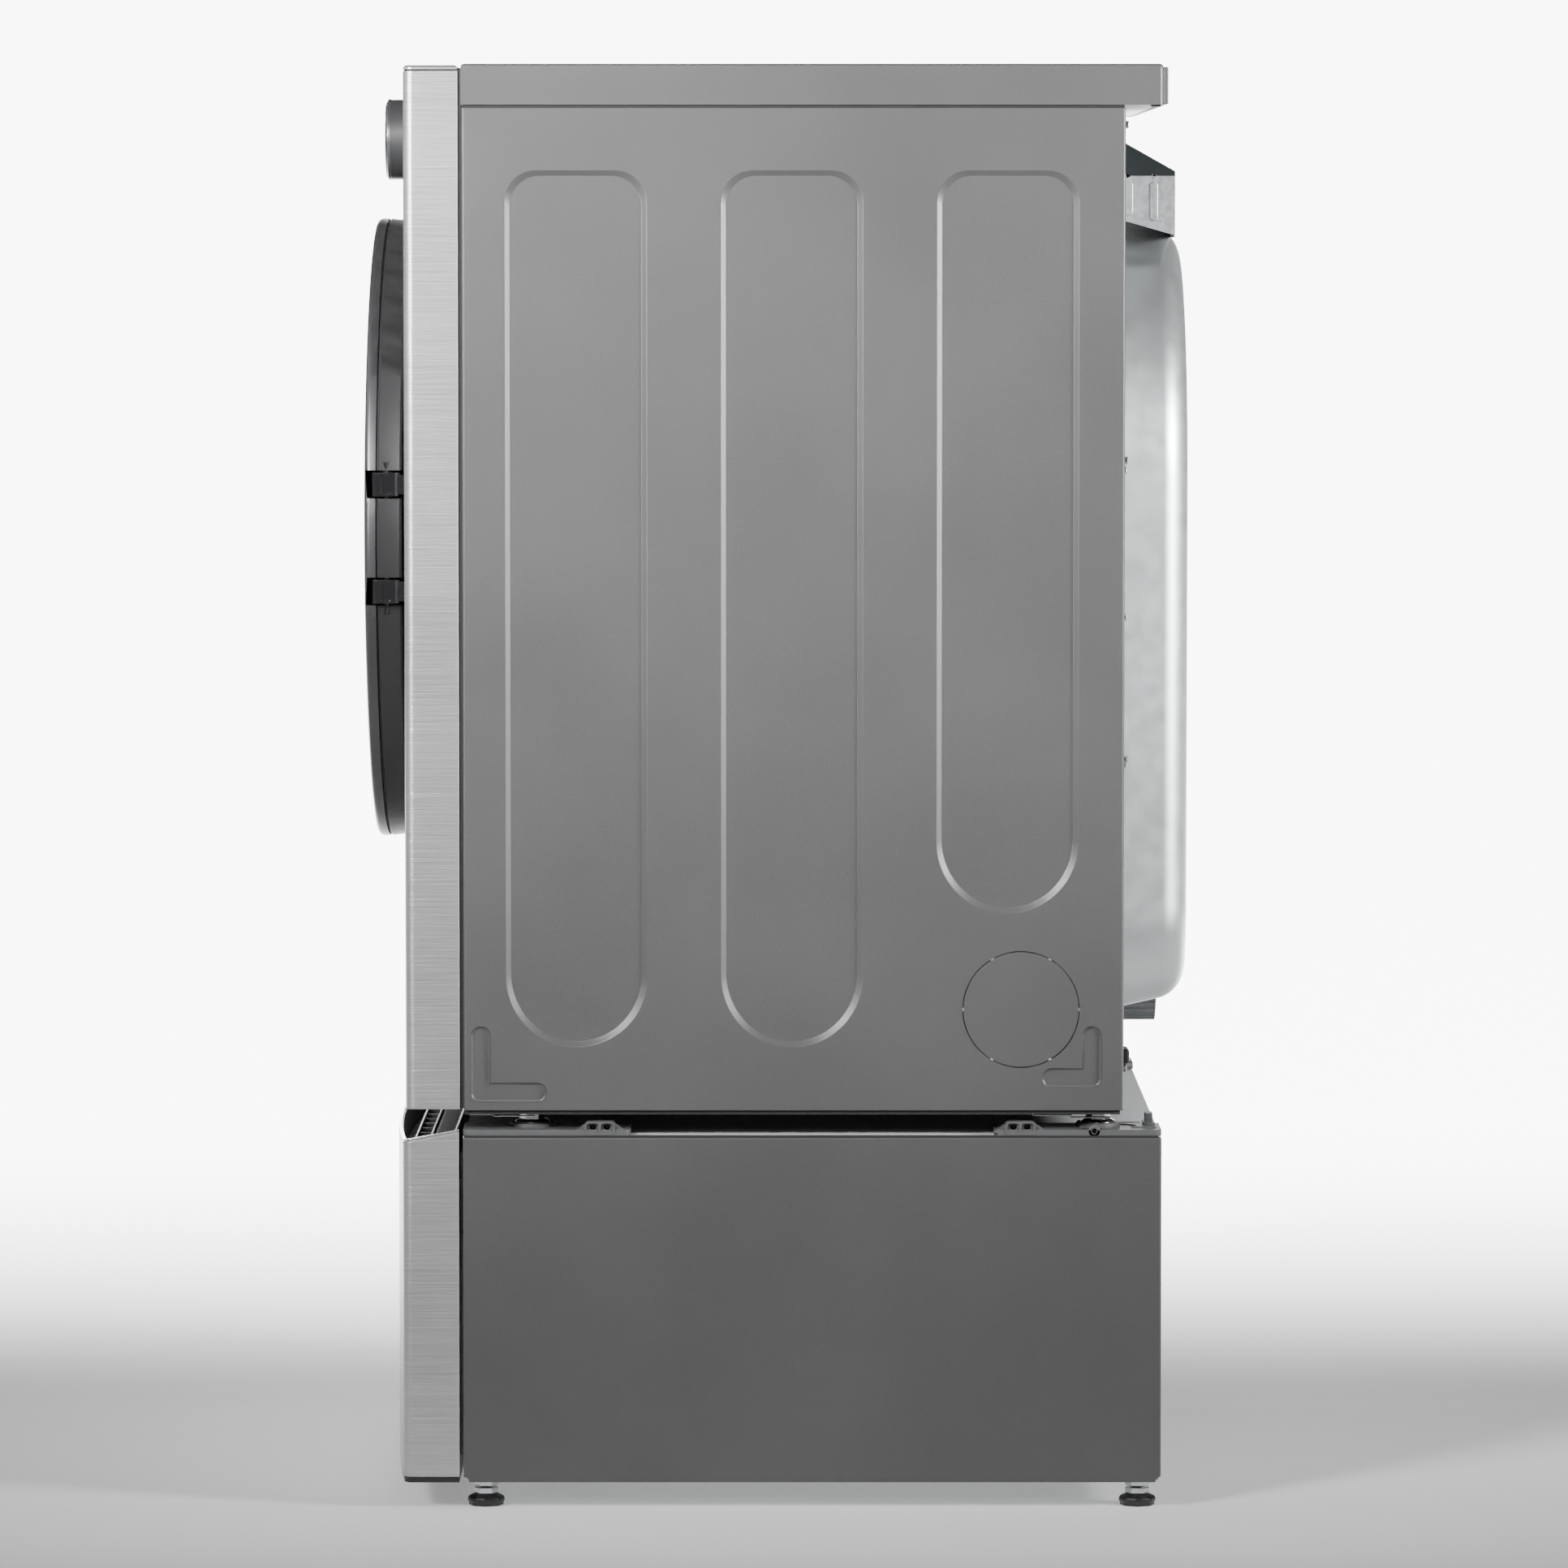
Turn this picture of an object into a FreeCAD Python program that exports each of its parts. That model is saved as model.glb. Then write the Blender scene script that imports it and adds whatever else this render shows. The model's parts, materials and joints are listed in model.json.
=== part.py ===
import FreeCAD, Part

import math
import os

# Front-load tumble dryer on a drawer pedestal. Millimetres.
# Row frame: +X is right when facing the front, -Y is the front, +Z is up,
# and the origin is on the floor at the centre of the whole footprint.

# ---- driving dimensions: overall ----
WIDTH = 686.0                 # cabinet and pedestal
MACHINE_HEIGHT = 983.0        # from the pedestal's top to the top cover
PEDESTAL_HEIGHT = 346.0       # from the floor to the pedestal's top plate
FRONT_Y = -338.0              # face of the front panel
REAR_Y = 322.0                # rear plane of the cabinet
FRONT_DEPTH = 50.0            # how far the front panel wraps round the side
SEAM = 2.7                    # black gap between the front wrap and the side panel
SHEET = 1.2                   # steel sheet
FRONT_SHEET = 1.5             # front panels and pedestal sheet
EDGE_R = 9.0                  # rounded vertical front edges
FIT = 0.3                     # clearance beside touching curved faces
OVER = 1.0                    # overlap of cutters and of solids that are joined
PAST = 5.0                    # how far a cutter reaches past a sheet
NEAR = 0.1                    # tolerance when an edge is picked by its place
TINY = 0.01
MIN_R = 0.5                   # smallest corner of a pressed floor

# ---- cabinet ----
CABINET_BOTTOM = PEDESTAL_HEIGHT + 24.0
PAN_BOTTOM = CABINET_BOTTOM - 4.0
TOP_Z = PEDESTAL_HEIGHT + MACHINE_HEIGHT
COVER_HEIGHT = 37.5
COVER_GAP = 2.2
COVER_OVERHANG = 34.3         # top cover beyond the cabinet's rear plane
COVER_LIP = 4.5
COVER_EDGE_R = 5.0
COVER_FRONT_GAP = 0.7
COVER_LIP_INSET = 3.0
COVER_HEM_BELOW = 8.0         # top of the rear hem below the cover's top
SIDE_EDGE_R = 2.5
PANEL_FIT = 0.2               # rear panel inside the side panels' flanges
PANEL_INSET = 2.0
CAP_HEIGHT = 4.8
CAP_GAP = 0.4
CAP_EDGE_R = 1.5
CAP_BELOW = 1.7               # cap's top below the cover's top
FLANGE = 16.0
PAN_WALL = 24.0
HALF = WIDTH / 2.0
SIDE_FRONT = FRONT_Y + FRONT_DEPTH + SEAM
SIDE_TOP = TOP_Z - COVER_HEIGHT - COVER_GAP
PANEL_TOP = TOP_Z - CAP_BELOW - CAP_HEIGHT
FRONT_BOTTOM = CABINET_BOTTOM + 0.9
REAR_PANEL_FACE = REAR_Y - SHEET - PANEL_FIT
REAR_PANEL_FRONT = REAR_PANEL_FACE - SHEET

CLIP_INSET = 20.5             # terminal clip, from the side panel's flange
CLIP_ABOVE = 42.0
CLIP_WIDTH = 25.5
CLIP_HEIGHT = 14.0
CLIP_DEPTH = 6.0
CLIP_R = 2.0

# ---- pressed shapes in the side panels ----
RIB_DEPTH = 2.6
RIB_BEVEL = 5.0
RIB_WIDTH = 130.0
RIB_PITCH = 197.6
RIB_FIRST = 104.9             # rib centre behind the side panel's front edge
RIB_TOP_BELOW = 57.5          # below the side panel's top edge
RIB_BOTTOM_ABOVE = 58.6       # above the side panel's bottom edge
RIB_TOP_R = 29.0
KNOCKOUT_R = 53.9
KNOCKOUT_GAP = 1.3
KNOCKOUT_TAB = 5.0
KNOCKOUT_FROM_REAR = 94.3
KNOCKOUT_ABOVE = 93.1
KNOCKOUT_TO_RIB = 34.9
KNOCKOUT_BARS = 3             # each makes two opposite tabs
HOOK_WIDTH = 18.6
HOOK_DEPTH = 2.0
HOOK_BEVEL = 2.0
HOOK_HEIGHT = 70.0
HOOK_LENGTH = 70.0
HOOK_LOW = 7.0
HOOK_REAR_RISE = 13.5
HOOK_REAR_LENGTH = 55.0
HOOK_FRONT_INSET = 7.5
HOOK_REAR_INSET = 19.8

# ---- drum ----
AXIS_Z = CABINET_BOTTOM + 524.8
DRUM_R = 305.0
DRUM_FRONT = FRONT_Y + 103.0
DRUM_REAR = REAR_Y - 22.0
DRUM_LIP = 23.5
LIFTER_HEIGHT = 45.0
LIFTER_WIDTH = 60.0
LIFTER_COUNT = 3
LIFTER_CREST = 24.0
LIFTER_INSET = 12.0           # from each end of the drum
LIFTER_TURN = 60.0
MOUTH_R = 205.0               # loading mouth
SEAL = 2.5
SEAL_GAP = 0.5
ROLLER_R = 20.0
ROLLER_WIDTH = 20.0
ROLLER_ANGLE = 40.0
ROLLER_INSET = 12.0           # ahead of the drum's rear end
COLLAR_R = 8.0
SHAFT_R = 5.0
RUNNING = 0.05                # radial clearance of a running fit

# ---- door ----
DOOR_R = 294.7
DOOR_STAND = 39.0             # rim front ahead of the front panel
DOOR_SEAM = 0.4
DOOR_FRONT_BAND = 12.1
DOOR_BACK_GAP = 4.5
DOOR_TAPER = 2.7
DOOR_DOME = 8.0
DOOR_WINDOW_R = 205.0
DOOR_LINER_R = 190.0
BOWL_END_R = 160.0
BOWL_DEPTH = 40.0
GLASS = 4.0
HINGE_X = 284.0
HINGE_Y = FRONT_Y - 19.0
HINGE_BLOCK = 25.0
HINGE_BLOCK_HEIGHT = 21.7
HINGE_SPREAD = 98.7
HINGE_PIN_R = 3.0
HINGE_PIN_OUT = 10.0          # pin beyond each end of a block
HINGE_BELOW = 0.3             # middle of the two blocks below the door's axis
HINGE_CORNER_R = 3.0
HINGE_ARM = (5.0, 9.0, 2.0)   # left and right of the pin, and inside the block's height
HINGE_PLATE = (3.0, 80.0)     # thickness and half height
NOTCH_SHARE = 0.75            # notch radius to block side
NOTCH_ROOM = 2.0
DOOR_EDGE_R = 4.0
BOWL_R = 15.0
GLASS_FIT = 0.2
STRIKER = (6.0, 14.0, 16.0)   # thickness, height and reach behind the front panel
LATCH_SLOT = (8.0, 11.0)      # half width and half height
LATCH_CASE = (22.0, 24.0, 26.0)   # half width, depth and half height
BOLT_RING = (12.0, 4.0)       # outer and inner radius beyond the liner

# ---- controls ----
KNOB_R = 38.6
KNOB_STAND = 32.0
KNOB_GAP = 1.2
KNOB_Z = TOP_Z - 64.6
BUTTON_R = 14.0
BUTTON_STAND = 3.0
BUTTON_X = {"power_button": -120.0, "start_button": 235.0}
WINDOW_X = 75.0
WINDOW_WIDTH = 120.0
WINDOW_HEIGHT = 40.0
WINDOW_PROUD = 0.4
WINDOW_THICK = 2.9
WINDOW_FIT = 0.1
KNOB_EDGE_R = 3.0
KNOB_SHAFT = 18.0             # shaft behind the front panel's face
POINTER = (3.0, 0.8, 12.0, 5.0)   # width, how far proud, start above the axis, end inside the rim
BUTTON_DEPTH = 4.0
STEM_R = 4.0
STEM_END = 14.0
BOARD_X = (-170.0, 290.0)
BOARD_Y = FRONT_Y + 20.0
BOARD_THICK = 2.0
BOARD_HALF = 34.0
CARRIER_DEPTH = 18.0
CARRIER_RIM = 4.0

# ---- drive and air path ----
MOTOR_X = 170.0
MOTOR_Z = CABINET_BOTTOM + 100.0
MOTOR_R = 60.0
PULLEY_R = 14.0
BELT = 2.0
BELT_WIDTH = 12.0
BELT_Y = -40.0
IDLER_R = 22.0
BLOWER_R = 72.0
DUCT_R = 51.0                 # four inch exhaust
DUCT_WALL = 1.0
DUCT_Z = CABINET_BOTTOM + 102.8
DUCT_END = REAR_Y + 43.5
DOME_DEPTH = 63.0
DOME_HALF = 262.0
DOME_BOTTOM = CABINET_BOTTOM + 80.0
DOME_TOP = CABINET_BOTTOM + 820.0
DOME_TOP_R = 235.0
DOME_BOTTOM_R = 90.0
DOME_DRAFT = 13.0
DOME_SHOULDER = 24.0
DOME_RIM = 9.0
DUCT_ROOM = 9.0               # round the stub where the cover is cut away
HOOD_HALF = 150.0
HOOD_TOP = CABINET_BOTTOM + 894.0
HOOD_DROP = 31.0
HOOD_DEPTH = 54.3
HOOD_FOOT = CABINET_BOTTOM + 803.0
FILTER_HALF = 110.0
FILTER_THICK = 14.0
FILTER_DEPTH = 135.0
FILTER_ROOM = 1.0
FILTER_RIM = 8.0
FILTER_GRIP = 22.0
IDLER_WIDTH = 16.0
IDLER_RUN = 70.0              # along the belt from the motor pulley
ARM_THICK = 4.0
ARM_R = (11.0, 10.0)          # at the pivot and at the pulley
MOTOR_LENGTH = 130.0
MOTOR_GAP = 20.0              # behind the belt's middle
MOTOR_BASE = (-55.0, 75.0, 2.0, 125.0, 45.0)   # left, right, front, rear, top below the axis
SHAFT_BORE = 100.0
CHEEK = 2.5
CHEEK_R = PULLEY_R + 5.0
WHEEL_FRONT = 18.0            # behind the housing's front
WHEEL_REAR = 14.0             # ahead of the housing's rear
WHEEL_PLATE = 3.0
WHEEL_HUB_R = 16.0
WHEEL_HUB_INSET = 15.0
WHEEL_HOOP = 12.0
VANE_THICK = 1.6
VANE_COUNT = 18
HOUSING_WALL = 3.0
HOUSING_ROOM = 8.0            # round the wheel
HOUSING_TOP = 60.0            # above the motor's axis
INLET_R = 46.0
LINT_WALL = 2.0
LINT_REACH = 60.0             # right of the motor's axis
HEATER_X = (100.0, 285.0)
HEATER_DEPTH = 130.0
HEATER_WALL = 3.0
HEATER_FLOOR = 30.0
HEATER_OVER_PORT = 6.0
INTAKE_X = (120.0, 265.0)
INTAKE_HEIGHT = (35.0, 75.0)

# ---- pedestal ----
PED_BOTTOM = 25.5
PED_SIDE_TOP = PEDESTAL_HEIGHT - 0.6
PED_REAR = REAR_Y + 35.4
DRAWER_FRONT = FRONT_Y - 3.0
DRAWER_BOW = 15.0
DRAWER_LOW_TOP = PEDESTAL_HEIGHT - 3.6
DRAWER_HIGH_TOP = PEDESTAL_HEIGHT + 5.4
DRAWER_TRIM = 2.4
KICK_HEIGHT = 5.0
DRAWER_BOX_HALF = HALF - 39.0
DRAWER_BOX_HEIGHT = 205.0
DRAWER_BOX_DEPTH = 608.0
RAIL_HEIGHT = 46.0
RAIL_Z = 130.0
RAIL_STEP = 3.0
BRACKET_LENGTH = 154.0
BRACKET_WIDTH = 62.0
BRACKET_THICK = 6.0
BOSS_LENGTH = 26.0
BOSS_RISE = 7.5
BOSS_FROM_FRONT = 126.0
BOSS_FROM_REAR = 129.9
SCREW_PITCH = 14.0
SCREW_R = 2.5
FOOT_PAD_R = 18.0
FOOT_PAD = 11.0
FOOT_STUD_R = 5.0
FOOT_STUD = 45.0
FOOT_X = HALF - 33.0
FOOT_FRONT_IN = 19.6
FOOT_REAR_IN = 20.4
HEX_ACROSS = 19.5
HEX_HEIGHT = 6.0
FOOT_CHAMFER = 3.0
NUT_GAP = 1.0
MACHINE_PAD = 6.0
MACHINE_STUD = 20.0
SOCKET_WALL = 4.0
SOCKET_RISE = 4.0
SOCKET_ROOM = 0.6
PED_EDGE_R = 3.0
PED_NOTCH_R = 5.0
BASE_RISE = 2.0
BASE_THICK = 2.0
BASE_FLANGE = 14.0
BASE_MARGIN = (70.0, 50.0)    # sides and rear, and front, round the base's opening
TOP_THICK = 1.8
TOP_LIP = 20.0
BRACKET_INSET = 1.0
BOSS_WIDTH = 16.0
BOSS_WING = 10.0
SCREW_RISE = 2.2              # above the bracket's plate
SCREW_HOLE = 11.0
SCREW_SHANK = 8.0
SCREW_HEAD = 2.0
HOOK_TAB = (26.0, 6.0, 12.0, 6.0, 5.0, 18.0)   # ends from the side, from the rear, and above the top
DRAWER_TALL = 340.0
DRAWER_RAISED = 20.0          # box above the pedestal's bottom edge
DRAWER_FACE_BELOW = 25.0
SLOPE_CUT = 60.0
KICK_INSET = 0.4
RAIL_LENGTH = 580.0
RAIL_BEHIND = 8.0             # behind the pedestal's front edge
OUTER_RAIL = 21.0
MIDDLE_RAIL = (29.0, 10.0)
INNER_RAIL = (15.0, 20.0)     # edge from the sheet, and how much shorter
MACHINE_FOOT_X = HALF - 38.0
MACHINE_FOOT_Y = (SIDE_FRONT + 63.0, REAR_Y - 22.0)
MACHINE_FOOT_R = 16.0

X_AXIS = FreeCAD.Vector(1, 0, 0)
Y_AXIS = FreeCAD.Vector(0, 1, 0)
Z_AXIS = FreeCAD.Vector(0, 0, 1)


# ---- small shape helpers ----
def point(x, y, z):
    return FreeCAD.Vector(x, y, z)


def block(x0, x1, y0, y1, z0, z1):
    return Part.makeBox(x1 - x0, y1 - y0, z1 - z0, point(x0, y0, z0))


def rod_y(radius, x, z, y0, y1):
    return Part.makeCylinder(radius, y1 - y0, point(x, y0, z), Y_AXIS)


def rod_z(radius, x, y, z0, z1):
    return Part.makeCylinder(radius, z1 - z0, point(x, y, z0), Z_AXIS)


def ring_y(outer, inner, x, z, y0, y1):
    return rod_y(outer, x, z, y0, y1).cut(rod_y(inner, x, z, y0 - OVER, y1 + OVER))


def join(shapes):
    first = shapes[0]
    return first.fuse(shapes[1:]).removeSplitter() if len(shapes) > 1 else first


def mirrored(shape):
    return shape.mirror(point(0, 0, 0), X_AXIS)


def both_sides(shape):
    return Part.makeCompound([mirrored(shape), shape])


def rounded(shape, radius, chosen):
    edges = [edge for edge in shape.Edges if chosen(edge)]
    return shape.makeFillet(radius, edges)


def is_vertical(edge):
    box = edge.BoundBox
    return box.XLength < TINY and box.YLength < TINY and box.ZLength > OVER


def hexagon(across, x, y, z0, z1):
    corner = across / math.sqrt(3)
    angles = [math.radians(60 * step) for step in range(7)]
    points = [point(x + corner * math.cos(a), y + corner * math.sin(a), z0) for a in angles]
    return Part.Face(Part.makePolygon(points)).extrude(point(0, 0, z1 - z0))


def outline(x, a0, a1, b0, b1, radii):
    """Closed rounded rectangle on a plane of constant x, in y (a) and z (b).

    radii are at (a0, b0), (a1, b0), (a1, b1) and (a0, b1).
    """
    low_left, low_right, high_right, high_left = radii
    half = math.sqrt(0.5)
    corners = [
        (a0 + low_left, b0 + low_left, low_left, -1, -1),
        (a1 - low_right, b0 + low_right, low_right, 1, -1),
        (a1 - high_right, b1 - high_right, high_right, 1, 1),
        (a0 + high_left, b1 - high_left, high_left, -1, 1),
    ]
    arcs = []
    for index, (a, b, radius, side, rise) in enumerate(corners):
        across = point(x, a + side * radius, b)
        along = point(x, a, b + rise * radius)
        middle = point(x, a + side * radius * half, b + rise * radius * half)
        ends = (across, along) if index in (0, 2) else (along, across)
        arcs.append((ends[0], middle, ends[1]))
    edges = []
    for index, (start, middle, end) in enumerate(arcs):
        edges.append(Part.Arc(start, middle, end).toShape())
        following = arcs[(index + 1) % len(arcs)][0]
        if end.distanceToPoint(following) > TINY:
            edges.append(Part.LineSegment(end, following).toShape())
    return Part.Wire(edges)


def pressed(face_x, depth, bevel, a0, a1, b0, b1, radii):
    """Tapered pocket from the panel's face inwards, for the right-hand side."""
    outer = outline(face_x, a0, a1, b0, b1, radii)
    small = [max(radius - bevel, MIN_R) for radius in radii]
    floor = outline(face_x - depth, a0 + bevel, a1 - bevel, b0 + bevel, b1 - bevel, small)
    return Part.makeLoft([outer, floor], True, True)


# ---- cabinet ----
def side_pockets():
    pockets = []
    bottom_r = RIB_WIDTH / 2 - TINY
    rib_bottoms = [CABINET_BOTTOM + RIB_BOTTOM_ABOVE] * 2
    rib_bottoms.append(CABINET_BOTTOM + KNOCKOUT_ABOVE + KNOCKOUT_R + KNOCKOUT_TO_RIB)
    for index, bottom in enumerate(rib_bottoms):
        middle = SIDE_FRONT + RIB_FIRST + RIB_PITCH * index
        pockets.append(pressed(HALF, RIB_DEPTH, RIB_BEVEL, middle - RIB_WIDTH / 2, middle + RIB_WIDTH / 2,
                               bottom, SIDE_TOP - RIB_TOP_BELOW,
                               (bottom_r, bottom_r, RIB_TOP_R, RIB_TOP_R)))
    return pockets


def hook_pockets():
    end_r = HOOK_WIDTH / 2 - TINY
    ends = (end_r, end_r, end_r, end_r)
    top = CABINET_BOTTOM + HOOK_LOW + HOOK_HEIGHT
    front = SIDE_FRONT + HOOK_FRONT_INSET
    rear = REAR_Y - HOOK_REAR_INSET
    front_low = CABINET_BOTTOM + HOOK_LOW
    rear_low = front_low + HOOK_REAR_RISE
    legs = [
        (front, front + HOOK_WIDTH, front_low, top),
        (front, front + HOOK_LENGTH, front_low, front_low + HOOK_WIDTH),
        (rear - HOOK_WIDTH, rear, rear_low, top),
        (rear - HOOK_REAR_LENGTH, rear, rear_low, rear_low + HOOK_WIDTH),
    ]
    return [pressed(HALF, HOOK_DEPTH, HOOK_BEVEL, a0, a1, b0, b1, ends) for a0, a1, b0, b1 in legs]


def knockout_centre():
    return REAR_Y - KNOCKOUT_FROM_REAR, CABINET_BOTTOM + KNOCKOUT_ABOVE


def side_panel():
    outer = block(HALF - FLANGE, HALF, SIDE_FRONT, REAR_Y, CABINET_BOTTOM, SIDE_TOP)
    outer = rounded(outer, SIDE_EDGE_R, lambda e: is_vertical(e) and e.BoundBox.XMin > HALF - OVER)
    inner = block(HALF - FLANGE - OVER, HALF - SHEET, SIDE_FRONT + SHEET, REAR_Y - SHEET,
                  CABINET_BOTTOM - OVER, SIDE_TOP - SHEET)
    panel = outer.cut(inner)
    pockets = side_pockets() + hook_pockets()
    for pocket in pockets:
        backing = pocket.copy()
        backing.translate(point(-SHEET, 0, 0))
        panel = panel.fuse(backing)
    panel = panel.cut(pockets)
    y, z = knockout_centre()
    hole = Part.makeCylinder(KNOCKOUT_R, 2 * PAST, point(HALF - PAST, y, z), X_AXIS)
    return panel.cut(hole)


def vent_knockouts():
    y, z = knockout_centre()
    disc = Part.makeCylinder(KNOCKOUT_R - KNOCKOUT_GAP, SHEET, point(HALF - SHEET, y, z), X_AXIS)
    reach = Part.makeCylinder(KNOCKOUT_R, SHEET, point(HALF - SHEET, y, z), X_AXIS)
    tabs = []
    for step in range(KNOCKOUT_BARS):
        bar = block(HALF - SHEET, HALF, y - KNOCKOUT_R - OVER, y + KNOCKOUT_R + OVER,
                    z - KNOCKOUT_TAB / 2, z + KNOCKOUT_TAB / 2)
        bar.rotate(point(HALF, y, z), X_AXIS, 180 / KNOCKOUT_BARS * step)
        tabs.append(bar.common(reach))
    return both_sides(join([disc] + tabs))


def top_cover():
    front = SIDE_FRONT - COVER_FRONT_GAP
    rear = REAR_Y + COVER_OVERHANG
    low = TOP_Z - COVER_HEIGHT
    outer = block(-HALF, HALF, front, rear, low, TOP_Z)
    outer = rounded(outer, COVER_EDGE_R,
                    lambda e: e.BoundBox.ZMin > TOP_Z - OVER and e.BoundBox.YMax > front + OVER)
    inner = block(-HALF + SHEET, HALF - SHEET, front + SHEET, rear - SHEET, low - OVER, TOP_Z - SHEET)
    lip_x = HALF - COVER_LIP_INSET
    lip_z = low + OVER
    lip = block(-lip_x, lip_x, rear - SHEET, rear + COVER_LIP, lip_z, lip_z + SHEET)
    hem = block(-lip_x, lip_x, rear + COVER_LIP - SHEET, rear + COVER_LIP, lip_z, TOP_Z - COVER_HEM_BELOW)
    return join([outer.cut(inner), lip, hem])


def wrapped_front(y0, z0, z1):
    body = block(-HALF, HALF, y0, FRONT_Y + FRONT_DEPTH, z0, z1)
    return rounded(body, EDGE_R, lambda e: is_vertical(e) and e.BoundBox.YMax < y0 + OVER)


def front_panel():
    outer = wrapped_front(FRONT_Y, FRONT_BOTTOM, PANEL_TOP)
    inner = block(-HALF + FRONT_SHEET, HALF - FRONT_SHEET,
                  FRONT_Y + FRONT_SHEET, FRONT_Y + FRONT_DEPTH + OVER,
                  FRONT_BOTTOM + FRONT_SHEET, PANEL_TOP - FRONT_SHEET)
    inner = rounded(inner, EDGE_R - FRONT_SHEET,
                    lambda e: is_vertical(e) and e.BoundBox.YMax < FRONT_Y + FRONT_SHEET + OVER)
    y0 = FRONT_Y - PAST
    y1 = FRONT_Y + PAST
    cuts = [rod_y(MOUTH_R, 0, AXIS_Z, y0, y1), rod_y(COLLAR_R - OVER, 0, KNOB_Z, y0, y1)]
    for x in BUTTON_X.values():
        cuts.append(rod_y(BUTTON_R + FIT, x, KNOB_Z, y0, y1))
    cuts.append(display_space(y0, y1, 0))
    cuts.append(latch_slot(y0, y1))
    return outer.cut(inner).cut(cuts)


def display_space(y0, y1, inset):
    return block(WINDOW_X + inset, WINDOW_X + WINDOW_WIDTH - inset, y0, y1,
                 KNOB_Z - WINDOW_HEIGHT / 2 + inset, KNOB_Z + WINDOW_HEIGHT / 2 - inset)


def display_window():
    front = FRONT_Y - WINDOW_PROUD
    return display_space(front, front + WINDOW_THICK, WINDOW_FIT)


def front_top_cap():
    cap = wrapped_front(FRONT_Y, PANEL_TOP + CAP_GAP, PANEL_TOP + CAP_GAP + CAP_HEIGHT)
    near_front = FRONT_Y + EDGE_R + OVER
    return rounded(cap, CAP_EDGE_R,
                   lambda e: e.BoundBox.ZMin > PANEL_TOP + CAP_HEIGHT and e.BoundBox.YMin < near_front)


def rear_panel():
    x = HALF - PANEL_INSET
    panel = block(-x, x, REAR_PANEL_FRONT, REAR_PANEL_FACE,
                  CABINET_BOTTOM + PANEL_INSET, SIDE_TOP - PANEL_INSET)
    y0 = REAR_PANEL_FRONT - PAST
    y1 = REAR_PANEL_FACE + PAST
    duct = rod_y(DUCT_R + OVER, 0, DUCT_Z, y0, y1)
    heater = block(*HEATER_PORT_X, y0, y1, *HEATER_PORT_Z)
    return panel.cut([duct, heater, rod_y(REAR_HOLE_R, 0, AXIS_Z, y0, y1)])


def dome_outline(y, inset):
    flat = outline(0, -DOME_HALF + inset, DOME_HALF - inset, DOME_BOTTOM + inset, DOME_TOP - inset,
                   (DOME_BOTTOM_R - inset, DOME_BOTTOM_R - inset, DOME_TOP_R - inset, DOME_TOP_R - inset))
    flat.rotate(point(0, 0, 0), Z_AXIS, -90)
    flat.translate(point(0, y, 0))
    return flat


def dome_solid(wall):
    rear = REAR_Y + DOME_DEPTH - wall
    start = REAR_Y if wall == 0 else REAR_Y - OVER
    body = Part.makeLoft([dome_outline(start, wall), dome_outline(rear, DOME_DRAFT + wall)], True, True)
    body = rounded(body, DOME_SHOULDER - wall, lambda e: e.BoundBox.YMin > rear - OVER)
    notch_r = DUCT_R + DUCT_ROOM + wall
    notch = join([rod_y(notch_r, 0, DUCT_Z, REAR_Y - PAST, rear + PAST),
                  block(-notch_r, notch_r, REAR_Y - PAST, rear + PAST,
                        DOME_BOTTOM - DOME_RIM - PAST, DUCT_Z)])
    return body.cut(notch)


def rear_duct_cover():
    shell = dome_solid(0).cut(dome_solid(SHEET))
    rim = Part.Face(dome_outline(REAR_Y, -DOME_RIM)).extrude(point(0, SHEET, 0))
    hole = Part.Face(dome_outline(REAR_Y - OVER, SHEET)).extrude(point(0, PAST, 0))
    gap_x = DUCT_R + DUCT_ROOM
    gap = block(-gap_x, gap_x, REAR_Y - PAST, REAR_Y + PAST, DOME_BOTTOM - DOME_RIM - PAST, DUCT_Z)
    return shell.fuse(rim.cut([hole, gap])).removeSplitter()


def hood_profile(inset):
    top = HOOD_TOP - inset
    rear = REAR_Y + HOOD_DEPTH - inset
    corners = [(REAR_Y - inset, HOOD_FOOT), (REAR_Y - inset, top), (rear, top - HOOD_DROP), (rear, HOOD_FOOT)]
    points = [point(-HOOD_HALF + inset, y, z) for y, z in corners]
    return Part.Face(Part.makePolygon(points + points[:1])).extrude(point(2 * (HOOD_HALF - inset), 0, 0))


def rear_hood():
    hood = hood_profile(0).cut(hood_profile(SHEET))
    clear = Part.makeLoft([dome_outline(REAR_Y - PAST, -SHEET),
                           dome_outline(REAR_Y + DOME_DEPTH, DOME_DRAFT - SHEET)],
                          True, True)
    return hood.cut(clear)


def exhaust_duct():
    return ring_y(DUCT_R, DUCT_R - DUCT_WALL, 0, DUCT_Z, BLOWER_REAR, DUCT_END)


def terminal_clip():
    x = HALF - FLANGE - CLIP_INSET
    low = CABINET_BOTTOM + CLIP_ABOVE
    clip = block(x, x + CLIP_WIDTH, REAR_Y, REAR_Y + CLIP_DEPTH, low, low + CLIP_HEIGHT)
    return rounded(clip, CLIP_R, lambda e: e.BoundBox.YMin > REAR_Y + CLIP_DEPTH - OVER)


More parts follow.
